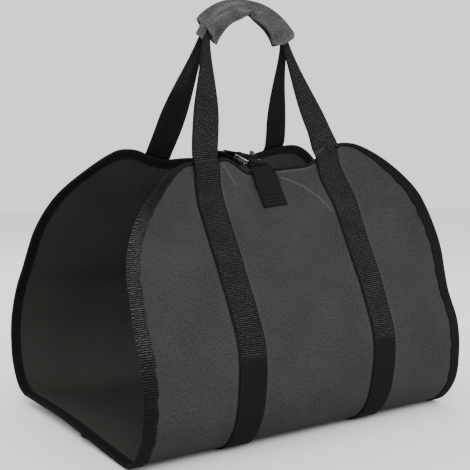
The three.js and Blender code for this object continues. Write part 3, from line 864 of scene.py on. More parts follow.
@dataclass
class BandPath:
    """Rows of a band: places and normals across it, its faces' heights, rib, pleat and turn strengths."""

    places: Array
    normals: Array
    low: Array
    high: Array
    ribs: Array
    pleats: Array
    turned: Array

    def then(self, other: "BandPath") -> "BandPath":
        """This band followed by another."""
        return BandPath(*(np.concatenate([a, b]) for a, b in zip(self.fields(), other.fields())))

    def reversed(self) -> "BandPath":
        """The same band from its other end, with its rows turned so that it faces the same way."""
        places, normals, *rest = (a[::-1] for a in self.fields())
        return BandPath(places[:, ::-1], normals[:, ::-1], *rest)

    def fields(self) -> tuple[Array, ...]:
        """All arrays in order."""
        return (self.places, self.normals, self.low, self.high, self.ribs, self.pleats, self.turned)

    def surface(self, shape: BandShape, half: float) -> Surface:
        """The band as a swept section with rounded edges, its faces at low and high along the normals.

        Ribs rise by rib_height * |sin(pi * row / rows_per_rib)| on the outer face, less where the band
        is smooth, and long pleats show where it is gathered.

        Args:
            shape: its section and ribs.
            half: half its width.

        Returns:
            The surface, its marks light along two lines near the edges: a painted highlight there.
        """
        share = np.array(shape.shares)
        row = np.arange(len(self.places))
        rib = shape.rib_height * (np.abs(np.sin(math.pi * row / shape.rows_per_rib)) - 0.6) * self.ribs
        body = np.clip(1 - np.abs(share) ** 6, 0, 1)
        crimp = 0.85 + 0.15 * np.cos(TAU * share * 4.5)
        rise = rib[:, None] * body * crimp
        pleat = self.pleats[:, None] * shape.pleat_height * np.cos(TAU * share * 1.5)
        mid = ((self.low + self.high) / 2)[:, None]
        thick = ((self.high - self.low) / 2)[:, None] * np.array(shape.edge)
        upper = self.places + self.normals * (mid + thick + rise + pleat)[..., None]
        lower = self.places + self.normals * (mid - thick + 0.5 * pleat)[..., None]
        rings = np.concatenate([lower, upper[:, ::-1]], 1)
        u = np.concatenate([share, share[::-1]]) * half
        v = row * shape.rib_pitch / shape.rows_per_rib
        flat = np.stack([np.repeat(u[None], len(row), 0), np.repeat(v[:, None], len(u), 1)], -1)
        over = self.ribs[:, None] * (1 - 0.75 * (np.abs(share) > 0.9))
        # Painted highlight: two light lines near the edges of the under face.
        lines = 0.45 * np.exp(-(((np.abs(share) - 0.85) / 0.06) ** 2))
        under = np.maximum(self.turned[:, None] * (share > -0.1), np.maximum(lines, 0.12))
        result = sweep(rings, flat)
        result.marks = np.concatenate([under, over[:, ::-1]], 1).reshape(-1)
        return result


@dataclass(frozen=True)
class Spot:
    """Where a band is sewn: its panel, its x there, and 1 or -1 for its section's way across."""

    front: bool
    x: float
    turn: int = 1


@dataclass
class BandMaker:
    """Rows of band on the sheet, leaving it and in the open."""

    sheet: CanvasSheet
    shape: BandShape = field(default_factory=BandShape)
    gather_width: float = 0.011
    gather_thick: float = 0.0036
    bold_rows: tuple[float, float] = (0.0015, 0.0165)
    bold_pitch: float = 0.0050
    bold_height: float = 0.0011

    @property
    def step(self) -> float:
        """Distance between rows."""
        return self.shape.rib_pitch / self.shape.rows_per_rib

    @property
    def leave(self) -> float:
        """How far a band runs straight on beyond a hem."""
        return 2 * self.sheet.layers.webbing

    @property
    def across(self) -> Array:
        """Places across a flat band."""
        return np.array(self.shape.shares) * self.sheet.layers.half_webbing

    def seat(self, downs: Array) -> Array:
        """Height of a sewn band's underside, which comes down from the binding over a tape's width."""
        layers = self.sheet.layers
        near = np.clip(1 - (downs - layers.tape_width) / layers.tape_width, 0, 1)
        return layers.over_canvas + (layers.over_tape - layers.over_canvas) * near

    def sewn(self, spot: Spot, downs: Array, ribs: Array) -> BandPath:
        """Band sewn on a panel. At the front left hem it swells between bold rows of stitches.

        Args:
            spot: where it is sewn.
            downs: the rows' distances from the hem.
            ribs: strength of the ribs at each row.

        Returns:
            The rows, in the order of downs.
        """
        s = downs if spot.front else self.sheet.length - downs
        across = self.sheet.track(spot.x, s)[:, None] + (self.across * spot.turn)[None, :]
        point, normal, _, _ = self.sheet.frame(across, s[:, None])
        first, last = self.bold_rows
        bold = (downs > first) & (downs < last) & (spot.front and spot.x < 0)
        rows = (0.5 - 0.5 * np.cos(TAU * (downs - first) / self.bold_pitch)) * bold
        ribs = ribs * (1 - 0.85 * bold * (1 - rows) ** 2)
        low = self.seat(downs)
        high = low + self.sheet.layers.webbing + self.bold_height * rows
        return BandPath(point, normal, low, high, ribs, 0 * downs, 0 * downs)

    def leaving(self, spot: Spot) -> BandPath:
        """Band just beyond a hem, still following the panel's lean and waves.

        Args:
            spot: where it is sewn.

        Returns:
            The rows, from the hem on.
        """
        layers = self.sheet.layers
        w = self.across * spot.turn
        s = 0.0 if spot.front else self.sheet.length
        beyond = np.arange(1, int(self.leave / self.step) + 1) * self.step
        point, normal, _, along = self.sheet.frame(spot.x + w, np.full(len(w), s))
        way = -along if spot.front else along
        places = point[None] + way[None] * beyond[:, None, None]
        normals = np.repeat(normal[None], len(beyond), 0)
        low = np.full(len(beyond), layers.over_tape)
        zero = 0 * beyond
        return BandPath(places, normals, low, low + layers.webbing, zero + 1, zero, zero)

    def hem_end(self, spot: Spot) -> tuple[Array, Array, Array]:
        """The middle of a band where it leaves a hem.

        Args:
            spot: where it is sewn.

        Returns:
            Centre, heading and across direction.
        """
        layers = self.sheet.layers
        s = 0.0 if spot.front else self.sheet.length
        point, normal, across, along = self.sheet.frame(spot.x, s)
        heading = -along if spot.front else along
        return point + normal * (layers.over_tape + layers.webbing / 2), heading, across * spot.turn

    def bend(self, spot: Spot) -> Array:
        """How far a band's last row beyond a hem stands off a straight one.

        Args:
            spot: where it is sewn.

        Returns:
            (section, 3) differences.
        """
        last = self.leaving(spot)
        centre, heading, across = self.hem_end(spot)
        true = last.places[-1] + last.normals[-1] * ((last.low[-1] + last.high[-1]) / 2)
        return true - (centre + heading * self.leave + across * self.across[:, None])

    def free(self, centre: Array, across: Array, heading: Array, spread: Array) -> BandPath:
        """Band in the open.

        Args:
            centre: its middle line.
            across: its directions across.
            heading: its directions along.
            spread: 1 where it is flat and 0 where it is gathered into the grip.

        Returns:
            The rows.
        """
        layers = self.sheet.layers
        normal = unit(np.cross(across, heading))
        half = mix(self.gather_width / 2, layers.half_webbing, spread)
        thick = mix(self.gather_thick, layers.webbing, spread)
        share = np.array(self.shape.shares)
        places = centre[:, None] + across[:, None] * (half[:, None] * share)[..., None]
        normals = np.repeat(normal[:, None], len(share), 1)
        return BandPath(places, normals, -thick / 2, thick / 2, 0 * spread + 1, 1 - spread, 0 * spread)


def bezier(a: Array, b: Array, c: Array, d: Array, step: float) -> Array:
    """Cubic Bezier curve at even steps of length.

    Args:
        a: its start.
        b: the start's handle.
        c: the end's handle.
        d: its end.
        step: the distance between its points.

    Returns:
        The rows of points.
    """
    t = np.linspace(0, 1, 400)[:, None]
    curve = (1 - t) ** 3 * a + 3 * (1 - t) ** 2 * t * b + 3 * (1 - t) * t**2 * c + t**3 * d
    return resample(curve, step)


@dataclass
class Arch:
    """The line of the grip: an arc in a plane across the carrier."""

    top: float = 0.5085
    lean: float = 0.036
    radius: float = 0.07
    half_angle: float = math.radians(60)
    stack_gap: float = 0.0005

    def frame(self, a: Array) -> tuple[Array, Array, Array, Array]:
        """Places and directions on the arc.

        Args:
            a: angles from the crown.

        Returns:
            Centre, heading, across and outward directions.
        """
        a = np.asarray(a, float)
        zero = 0 * a
        heading = np.stack([np.cos(a), zero, -np.sin(a)], -1)
        across = np.stack([-np.sin(a), zero, -np.cos(a)], -1)
        centre = np.stack([self.radius * np.sin(a), zero - self.lean,
                           self.top - self.radius * (1 - np.cos(a))], -1)
        return centre, heading, across, np.cross(across, heading)


@dataclass
class CarryingLoop:
    """One loop of webbing: under the canvas, up its panel, through the grip and down again."""

    front: bool
    maker: BandMaker
    arch: Arch
    gather_length: float = 0.12
    leg_ease: float = 0.008
    bows: tuple[float, float] = (0.0, 0.0)
    smooth_from: float = 0.246
    turned_rows: int = 150
    fade_length: float = 0.03
    butt_gap: float = 0.0004
    row_inset: float = 0.002
    line_inset: float = 0.0028
    seam_rows: tuple[float, ...] = (0.0015, 0.0065, 0.0115, 0.0165)

    @property
    def turn(self) -> int:
        """1 for the front loop and -1 for the back one."""
        return 1 if self.front else -1

    @property
    def stack(self) -> float:
        """Distance of this loop's middle from the grip's own middle line."""
        return self.turn * (self.maker.gather_thick + self.arch.stack_gap) / 2

    def leg(self, spot: Spot, up: int, bow: float) -> BandPath:
        """Free leg from a hem up to an end of the grip: a Bezier curve on which the band turns evenly.

        Args:
            spot: where the band is sewn below it.
            up: 1 where the band runs up this leg, -1 where it runs down it.
            bow: how far its middle swings along x, as bow * sin(pi * share) of its length.

        Returns:
            The leg's rows, from the hem up. The hem's own shape across fades over their first part.
        """
        maker = self.maker
        centre, heading, across_top, outward = self.arch.frame(math.copysign(self.arch.half_angle, spot.x))
        top = centre + outward * self.stack
        hem, way, across = maker.hem_end(spot)
        start = hem + way * maker.leave
        reach = float(np.linalg.norm(start - top)) / 7
        curve = bezier(start, start + way * reach, top - heading * up * self.leg_ease, top, maker.step)
        heading = tangents(curve)
        share = np.linspace(0, 1, len(curve))[:, None]
        across = mix(across, across_top * self.turn, share)
        across = unit(across - heading * (across * heading).sum(-1, keepdims=True))
        spread = smooth(np.linalg.norm(curve - top, axis=1), 0, self.gather_length)
        path = maker.free(curve, across, heading * up, spread)
        fade = 1 - smooth(arc_length(curve), 0, self.fade_length)
        swing = bow * np.sin(math.pi * share) * np.array([1.0, 0.0, 0.0])
        path.places = path.places + fade[:, None, None] * maker.bend(spot)[None] + swing[:, None]
        return path

    def path(self) -> BandPath:
        """The whole loop, from the middle under the load up the left and down the right.

        Returns:
            Its rows.
        """
        maker, sheet, turn = self.maker, self.maker.sheet, self.turn
        limit = self.arch.half_angle
        reach = (sheet.middle if self.front else sheet.length - sheet.middle) - self.butt_gap
        downs = np.linspace(reach, 0, int(reach / maker.step))
        ribs = 1 - 0.85 * smooth(downs, self.smooth_from - 0.004, self.smooth_from + 0.004)

        def side_of(spot: Spot, up: int, bow: float) -> BandPath:
            """One side of the loop, sewn up its panel and then free up to the grip."""
            sewn = maker.sewn(spot, downs, ribs).then(maker.leaving(spot))
            return sewn.then(self.leg(spot, up, bow))

        left = side_of(Spot(self.front, -sheet.strap_x, turn), 1, self.bows[0])
        right = side_of(Spot(self.front, sheet.strap_x, -turn), -1, self.bows[1])
        a = np.linspace(-limit, limit, int(2 * limit * self.arch.radius / maker.step))[1:-1]
        centre, heading, across, outward = self.arch.frame(a)
        over = maker.free(centre + outward * self.stack, across * turn, heading, 0 * a)
        if not self.front:
            row = np.arange(len(left.ribs)) - (len(left.ribs) - self.turned_rows)
            left.turned = smooth(row, 0, 40)
        return left.then(over).then(right.reversed())

    def build(self, finish: object, thread: object) -> list[bpy.types.Object]:
        """The loop and its stitching.

        Args:
            finish: the webbing's material.
            thread: the stitches' material.

        Returns:
            Both pieces.
        """
        word = "front" if self.front else "back"
        half = self.maker.sheet.layers.half_webbing
        surface = self.path().surface(self.maker.shape, half)
        loop = make_piece(f"{word}_webbing", surface, [finish], [f"webbing_{word}"])
        rows = []
        for x in (-self.maker.sheet.strap_x, self.maker.sheet.strap_x):
            spot = Spot(self.front, x)
            rows += [sewn_row(self.maker, spot, down, half - self.row_inset) for down in self.seam_rows]
            rows += [sewn_line(self.maker, spot, side * (half - self.line_inset)) for side in (-1, 1)]
        seams = make_piece(f"{word}_webbing_stitches", join_all(rows), [thread], [])
        return [loop, seams]


def on_band(maker: BandMaker, spot: Spot, off: Array, down: Array) -> tuple[Array, Array]:
    """Places on the outer face of a sewn band.

    Args:
        maker: what made the band.
        spot: where it is sewn.
        off: distances off its middle line.
        down: distances from the hem.

    Returns:
        Points a thread's stand above it, and normals.
    """
    s = down if spot.front else maker.sheet.length - down
    point, normal, _, _ = maker.sheet.frame(maker.sheet.track(spot.x, s) + off, s)
    height = maker.seat(down) + maker.sheet.layers.webbing + STAND
    return point + normal * height[..., None], normal


def sewn_row(maker: BandMaker, spot: Spot, down: float, half: float) -> Surface:
    """Bold stitches across a band, at a distance down from its hem and over half a width either way."""
    across = np.linspace(-half, half, 24)
    return stitch_run(*on_band(maker, spot, across, np.full_like(across, down)), ROW_THREAD)


def sewn_line(maker: BandMaker, spot: Spot, off: float) -> Surface:
    """Fine stitches down a band, at a distance off its middle and as far as its panel turns under."""
    down = np.linspace(0.018, 0.335, 220)
    return stitch_run(*on_band(maker, spot, np.full_like(down, off), down), EDGE_THREAD)


# The grip


# Creases on the grip's front, by angle from the crown and distance across
GRIP_RIDGES = (
    Ridge((-0.98, -0.0085), (-0.08, -0.0064), 0.0009, 0.0016),
    Ridge((-0.95, -0.004), (-0.42, 0.001), 0.0007, 0.0017),
    Ridge((-0.30, 0.0005), (0.04, 0.0075), 0.0008, 0.0018),
    Ridge((0.28, -0.001), (0.09, 0.0072), 0.0006, 0.0016),
)


@dataclass
class PaddedGrip:
    """Padded wrap round both loops: slim at the crown, wide at the ends, its flap tucked under it."""

    arch: Arch
    gather_thick: float = 0.0036
    gap: float = 0.0003
    waist: float = 0.021
    flare: float = 0.037
    wall: float = 0.0022
    ease: float = 0.001
    end_radius: float = 0.012
    slant: float = 0.28
    press: float = 0.70
    tuck: float = math.radians(74)
    open_tuck: float = math.radians(50)
    open_edge: float = 0.0026
    seam_inset: float = 0.0034
    pinch_place: float = 0.003
    pinch_half: float = 0.011
    pinch_depth: float = 0.0046
    notch_half: float = 0.0022
    notch_depth: float = 0.0022
    seam_depth: float = 0.0005
    slant_reach: float = 0.35
    tab_size: tuple[float, float, float] = (0.0150, 0.011, 0.0016)
    tab_out: float = 0.0047
    tab_root: float = 0.003
    tab_across: float = 0.0050
    rows: int = 200
    swell_cap: float = 0.0009

    @property
    def radius(self) -> float:
        """Radius of the wrap's middle line at its long edges."""
        return self.gather_thick + self.arch.stack_gap / 2 + self.ease + self.wall / 2

    def straight(self, a: Array) -> Array:
        """Half the flat part of the section at angles a."""
        share = np.clip(np.abs(a) / self.arch.half_angle, 0, 1) ** 1.3
        return mix(self.waist, self.flare, share) / 2 - self.radius - self.wall / 2

    def spiral(self, a: Array) -> Array:
        """Middle line of the wrap at angles a: a flat oval wound once round, with the flap lying over it.

        Args:
            a: angles from the crown, one for each row.

        Returns:
            (rows, points, 2) places across and outward.
        """
        straight = self.straight(a)[:, None]
        r = self.radius
        up = math.pi / 2
        ones = np.ones_like(straight)
        arc = np.linspace(0, 1, 13)[None, :]
        short = np.linspace(0, 1, 7)[None, :]
        long = np.linspace(0, 1, 25)[None, :]
        tuck = np.linspace(0, 1, 11)[None, 1:]
        lift = self.open_edge * (smooth(a, 0.10, 0.30) * (1 - smooth(a, 0.62, 0.86)))[:, None]
        turn = mix(self.tuck, self.open_tuck, lift / self.open_edge)
        right, left, under = up - math.pi * arc, -up - math.pi * arc, up - turn * tuck
        parts = [
            (straight * short[:, :-1], r, up, 0 * short[:, :-1], 0),
            (straight + r * np.cos(right), r * np.sin(right), right, 0.25 * arc, 0),
            (straight * (1 - 2 * short[:, 1:-1]), -r, -up, 0.25 + 0.25 * short[:, 1:-1], 0),
            (-straight + r * np.cos(left), r * np.sin(left), left, 0.5 + 0.4 * arc, 0),
            (-straight + 2 * straight * long[:, 1:], r, up, 0.9 + 0.1 * np.minimum(1, 3 * long[:, 1:]), 0),
            (straight + r * np.cos(under), r * np.sin(under), under, 1 + 0 * tuck, lift * tuck),
        ]
        xs, ys = [], []
        for x, y, angle, share, more in parts:
            grown = (self.wall + self.gap) * share + more
            xs.append(ones * x + grown * np.cos(angle))
            ys.append(ones * y + grown * np.sin(angle) + 0 * x)
        return np.stack([np.concatenate(xs, 1), np.concatenate(ys, 1)], -1)

    def creases(self, a: Array, across: Array, front: Array) -> Array:
        """Height of the ridges on the front, highest halfway along each.

        Args:
            a: angles from the crown.
            across: places across.
            front: 1 where the skin faces the front.

        Returns:
            Metres outwards.
        """
        total = np.zeros(np.broadcast(a, across).shape)
        for ridge in GRIP_RIDGES:
            along, height = ridge.at(a * self.arch.radius, across, (self.arch.radius, 1.0))
            total = total + height * np.sin(math.pi * (0.1 + 0.8 * along))
        return total * front

    def shaped(self, section: Array, base: Array) -> Array:
        """The section pinched in under the crown and pressed flat at its left end.

        Args:
            section: (rows, points, 2) places across and outward.
            base: the rows' angles.

        Returns:
            The section, with bells exp(-(distance / half)^2) along the grip taken off its low side.
        """
        off = base * self.arch.radius - self.pinch_place
        pinch = self.pinch_depth * np.exp(-((off / self.pinch_half) ** 2))[:, None]
        notch = self.notch_depth * np.exp(-((off / self.notch_half) ** 2))[:, None]
        section[..., 0] -= (pinch + notch) * np.clip(section[..., 0] / 0.010, 0, 1)
        at_end = smooth(-base, self.arch.half_angle - 0.28, self.arch.half_angle - 0.04)[:, None]
        beside = smooth(np.abs(section[..., 0]), 0.0055, 0.0110)
        section[..., 1] *= 1 - self.press * at_end * beside
        return section

    def angles(self, across: Array, base: Array) -> Array:
        """Angles of the section's points, trimmed round at the right end and slanted at the left.

        Args:
            across: (rows, points) places across.
            base: the rows' angles.

        Returns:
            (rows, points) angles from the crown.
        """
        limit = self.arch.half_angle
        last = self.end_radius / self.arch.radius + base[1] - base[0]
        share = np.clip((base - (limit - last)) / last, 0, 1)[:, None]
        begin = np.clip((self.slant_reach - limit - base) / self.slant_reach, 0, 1)[:, None]
        trim = share * self.end_trim(across) + begin * self.slant * across
        return base[:, None] - trim / self.arch.radius

    def build(self, finish: object, thread: object, tab: object) -> list[bpy.types.Object]:
        """The wrap, swollen between its seams, its topstitching and the small tab at its left end.

        Args:
            finish: the wrap's material.
            thread: the stitches' material.
            tab: the tab's material.

        Returns:
            The three pieces. Marks are high, a painted highlight, on the wrap's rim and ridges, and low,
            painted shade, under its flap and on its inner skin.
        """
        limit = self.arch.half_angle
        base = np.linspace(-limit, limit, self.rows)
        line = self.spiral(base)
        steps = np.linalg.norm(np.diff(line, axis=1), axis=2)
        along_line = np.concatenate([np.zeros((len(base), 1)), np.cumsum(steps, 1)], 1)
        run = unit(np.gradient(line, axis=1))
        normal = np.stack([-run[..., 1], run[..., 0]], -1)
        whole = along_line[:, -1:]
        to_end = np.minimum(base + limit, limit - base)[:, None] * self.arch.radius
        near = np.minimum(np.minimum(along_line, whole - along_line), to_end)
        rim = smooth(near, -0.0006, 0.0016)
        seam = self.seam_depth * np.exp(-(((near - self.seam_inset) / 0.0009) ** 2))
        front = smooth(line[..., 1], 0.2 * self.radius, 0.8 * self.radius) * (along_line > 0.5 * whole)
        ridges = self.creases(base[:, None], line[..., 0], front)
        half = self.wall / 2 * (0.35 + 0.65 * rim)
        outer = line + normal * (half - seam + ridges)[..., None]
        inner = line - normal * half[..., None]
        section = self.shaped(np.concatenate([inner, outer[:, ::-1]], 1), base)
        centre, _, across, outward = self.arch.frame(self.angles(section[..., 0], base))
        rings = centre + across * section[..., :1] + outward * section[..., 1:]
        along = np.concatenate([along_line, along_line[:, ::-1]], 1)
        flat = np.stack([along, np.repeat(base[:, None] * self.arch.radius, along.shape[1], 1)], -1)
        surface = sweep(rings, flat)
        # Painted shade: marks below 0 on the layers under the flap and on the inner skin, from the crown to
        # the right end; painted highlight on the rim and along the ridges.
        flap_shade = 1 - smooth(np.arange(line.shape[1]), 11, 16)
        dark = 1.5 * smooth(base, -0.7, -0.1)[:, None]
        painted_light = np.clip(1 - rim + 0.7 * ridges / GRIP_RIDGES[0].height, 0, 1) - dark * flap_shade
        surface.marks = np.concatenate([0 * painted_light - dark, painted_light[:, ::-1]], 1).reshape(-1)
        wrap = make_piece("grip_padding", surface, [finish], ["grip_wrap"])
        free = smooth(near, self.seam_inset + 0.0005, self.seam_inset + 0.004) * (along_line > 0.3 * whole)
        held = np.concatenate([np.ones_like(free), 1 - free[:, ::-1]], 1).reshape(-1)
        swell(wrap, held, self.swell_cap)
        skin = rings[:, line.shape[1]:][:, ::-1]
        seams = make_piece("grip_stitches", self.stitches(skin, along_line), [thread], [])
        return [wrap, seams, self.tab(tab)]

    def end_trim(self, across: Array) -> Array:
        """How far the rounded right end stands back: quarter ellipses, longer below.

        Args:
            across: places across.

        Returns:
            Metres along the arc.
        """
        side = self.flare / 2 - self.end_radius
        above = np.clip((-across - side) / (1.25 * self.end_radius), 0, 1)
        below = np.clip((across - 0.2 * side) / (1.6 * self.end_radius), 0, 1)
        return self.end_radius * (2 - np.sqrt(1 - above**2) - np.sqrt(1 - below**2))

    def stitches(self, skin: Array, along_line: Array) -> Surface:
        """Rows of topstitching inside the flap's free edge and both ends.

        Args:
            skin: (rows, points, 3) grid of the outer skin.
            along_line: (rows, points) running lengths of the wrap's middle line.

        Returns:
            All the grains.
        """
        normals = self.skin_normals(skin)
        inset = self.seam_inset
        end_rows = int(round(inset / (2 * self.arch.half_angle * self.arch.radius) * (self.rows - 1)))
        keep = slice(end_rows, self.rows - end_rows)
        target = along_line[:, -1] - inset
        place = np.array([np.interp(at, run, np.arange(len(run))) for at, run in zip(target, along_line)])
        low = np.clip(place.astype(int), 0, skin.shape[1] - 2)
        index = np.arange(self.rows)
        line = mix(skin[index, low], skin[index, low + 1], (place - low)[:, None])
        first = int(0.45 * skin.shape[1])
        seams = [(line[keep], normals[index, low][keep])]
        ends = (end_rows, self.rows - 1 - end_rows)
        seams += [(skin[row, first:-4], normals[row, first:-4]) for row in ends]
        return join_all([stitch_run(edge + way * STAND, way, GRIP_THREAD) for edge, way in seams])

    def skin_normals(self, skin: Array) -> Array:
        """Outward normals of the wrap's outer skin, by crossing its two grid directions.

        Args:
            skin: (rows, points, 3) grid.

        Returns:
            The same grid of directions, turned to point away from each row's middle.
        """
        normal = unit(np.cross(np.gradient(skin, axis=0), np.gradient(skin, axis=1)))
        centre = skin.mean(axis=1, keepdims=True)
        facing = ((skin - centre) * normal).sum(-1).mean()
        return normal if facing > 0 else -normal

    def tab(self, finish: object) -> bpy.types.Object:
        """Small flat tab whose root is sunk in the wrap's wall at its left end.

        Args:
            finish: its material.

        Returns:
            The piece.
        """
        centre, heading, across, outward = self.arch.frame(-self.arch.half_angle)
        length, width, _ = self.tab_size
        middle = (centre + outward * self.tab_out - heading * (length / 2 - self.tab_root)
                  + across * (self.tab_across - self.flare / 2 + width / 2))
        return slab("grip_end_tab", middle, (heading, across, outward), self.tab_size,
                    finish, "grip_tab")


def swell(piece: bpy.types.Object, held: Array, cap: float, frames: int = 14) -> None:
    """Blows a padded piece up from inside with a short cloth simulation and keeps its end shape.

    Args:
        piece: the closed piece.
        held: how firmly each vertex is held, from 0, free, to 1.
        cap: the farthest that a vertex may move, in metres.
        frames: how long the simulation runs.
    """
    group = piece.vertex_groups.new(name="held")
    for level in range(1, 11):
        chosen = np.nonzero(np.round(held * 10).astype(int) == level)[0]
        group.add([int(k) for k in chosen], level / 10, "REPLACE")
    cloth = piece.modifiers.new("swell", "CLOTH")
    rules = cloth.settings
    rules.quality = 6
    rules.mass = 0.08
    rules.tension_stiffness = rules.compression_stiffness = 12
    rules.shear_stiffness = 6
    rules.bending_stiffness = 0.4
    rules.vertex_group_mass = group.name
    rules.pin_stiffness = 1
    rules.use_pressure = True
    rules.uniform_pressure_force = 4
    rules.effector_weights.gravity = 0
    cloth.collision_settings.use_collision = False
    cloth.point_cache.frame_start, cloth.point_cache.frame_end = 1, frames
    for number in range(1, frames + 1):
        bpy.context.scene.frame_set(number)
    count = len(piece.data.vertices)
    before, after = np.empty(3 * count, np.float32), np.empty(3 * count, np.float32)
    piece.data.vertices.foreach_get("co", before)
    blown = piece.evaluated_get(bpy.context.evaluated_depsgraph_get()).to_mesh()
    blown.vertices.foreach_get("co", after)
    moved = (after - before).reshape(-1, 3)
    length = np.linalg.norm(moved, axis=1, keepdims=True)
    moved *= np.minimum(1, cap / np.maximum(length, 1e-9)) * (1 - held[:, None])
    piece.modifiers.remove(cloth)
    piece.vertex_groups.remove(group)
    bpy.context.scene.frame_set(1)
    piece.data.vertices.foreach_set("co", before + moved.astype(np.float32).ravel())
    piece.data.update()
    LOG.info("%s swelled by up to %.2f mm", piece.name, 1000 * float(np.linalg.norm(moved, axis=1).max()))


def slab(name: str, middle: Array, ways: tuple[Array, Array, Array], size: tuple[float, float, float],
         finish: object, node: str) -> bpy.types.Object:
    """Flat piece of cloth with a thicker hem: a grid whose thickness falls to its edge as a superellipse.

    Args:
        name: the piece's name.
        middle: its centre.
        ways: directions of its length, width and thickness.
        size: length, width and thickness.
        finish: its material.
        node: the CAD node that it stands for.

    Returns:
        The piece, its marks on the rim: a painted highlight.
    """
    u, v, w = ways
    p = np.sin(np.linspace(-math.pi / 2, math.pi / 2, 17))
    a, b = np.meshgrid(p, p, indexing="ij")
    out = np.maximum(np.abs(a), np.abs(b))
    edge = np.clip(1 - out**10, 0.12, 1) ** 0.5
    half = size[2] / 2 * edge * (1 + 0.12 * (out > 0.62))
    place = middle + a[..., None] * u * size[0] / 2 + b[..., None] * v * size[1] / 2
    flat = np.stack([a * size[0] / 2, b * size[1] / 2], -1)
    surface = shell(place + w * half[..., None], place - w * half[..., None], flat)
    surface.slots[:] = 0
    rim = (out > 0.75).astype(float).reshape(-1)
    surface.marks = np.concatenate([rim, rim])
    return make_piece(name, surface, [finish], [node])


# The closure


@dataclass
class ClosureRing:
    """Rectangular ring that joins the two closure straps."""

    sheet: CanvasSheet
    length: float = 0.0235
    bar: float = 0.0035
    height: float = 0.0055
    corner: float = 0.003
    corner_ease: float = 0.0008
    power: float = 0.35
    section_points: int = 40
    pitch: float = math.radians(22)
    yaw: float = math.radians(12)
    roll: float = math.radians(6)
    rise: float = 0.009
    behind: float = 0.006

    def __post_init__(self) -> None:
        """Works out the ring's own directions and its origin in the front bar."""
        x = unit(np.array([1, math.tan(self.yaw), -math.tan(self.roll)]))
        y = np.array([0, math.cos(self.pitch), math.sin(self.pitch)])
        y = unit(y - x * (y @ x))
        hem = self.sheet.point(0.0, 0.0)
        self.x, self.y, self.z = x, y, np.cross(x, y)
        self.origin = np.array([0.0, hem[1] + self.behind, hem[2] + self.rise])

    @property
    def reach(self) -> float:
        """Distance between the middles of the front and the rear bar."""
        return self.length - self.bar

    def place(self, back: Array, above: Array) -> Array:
        """Places over the ring's middle line from front to back.

        Args:
            back: distances back from the front bar.
            above: distances above the middle plane.

        Returns:
            (..., 3) points.
        """
        back, above = np.asarray(back, float), np.asarray(above, float)
        return self.origin + back[..., None] * self.y + above[..., None] * self.z

    def build(self, finish: object) -> bpy.types.Object:
        """The ring: a superellipse section carried round a rounded rectangle.

        Args:
            finish: its material.

        Returns:
            The piece, its marks along the edges of its bars, where bright metal is a painted highlight.
        """
        r = self.corner - self.bar / 2 + self.corner_ease
        x = self.sheet.layers.half_webbing + self.sheet.layers.gap + self.bar / 2 - r
        y = self.reach - r
        path, outs = [], []
        for cx, cy, start in ((x, r, -90), (x, y, 0), (-x, y, 90), (-x, r, 180)):
            t = np.radians(np.linspace(start, start + 90, 9))
            path.append(np.stack([cx + r * np.cos(t), cy + r * np.sin(t)], -1))
            outs.append(np.stack([np.cos(t), np.sin(t)], -1))
        path, outs = np.vstack(path), np.vstack(outs)
        t = np.linspace(0, TAU, self.section_points, endpoint=False)
        sx = np.sign(np.cos(t)) * np.abs(np.cos(t)) ** self.power * self.bar / 2
        sz = np.sign(np.sin(t)) * np.abs(np.sin(t)) ** self.power * self.height / 2
        flat_ring = path[:, None] + outs[:, None] * sx[None, :, None]
        rings = (self.origin + flat_ring[..., :1] * self.x + flat_ring[..., 1:] * self.y
                 + np.broadcast_to(sz[None, :, None], flat_ring.shape[:2] + (1,)) * self.z)
        flat = np.stack(np.meshgrid(np.arange(len(path)) * 0.002, t * 0.001, indexing="ij"), -1)
        surface = sweep(rings, flat, closed=True)
        # Painted highlight: the edges of the bars are marked for bright metal, standing in for glints.
        corner = np.minimum(np.abs(sx) / (self.bar / 2), np.abs(sz) / (self.height / 2))
        surface.marks = np.repeat(smooth(corner, 0.72, 0.8)[None], len(path), 0).reshape(-1)
        return make_piece("strap_ring", surface, [finish], ["closure_ring"])


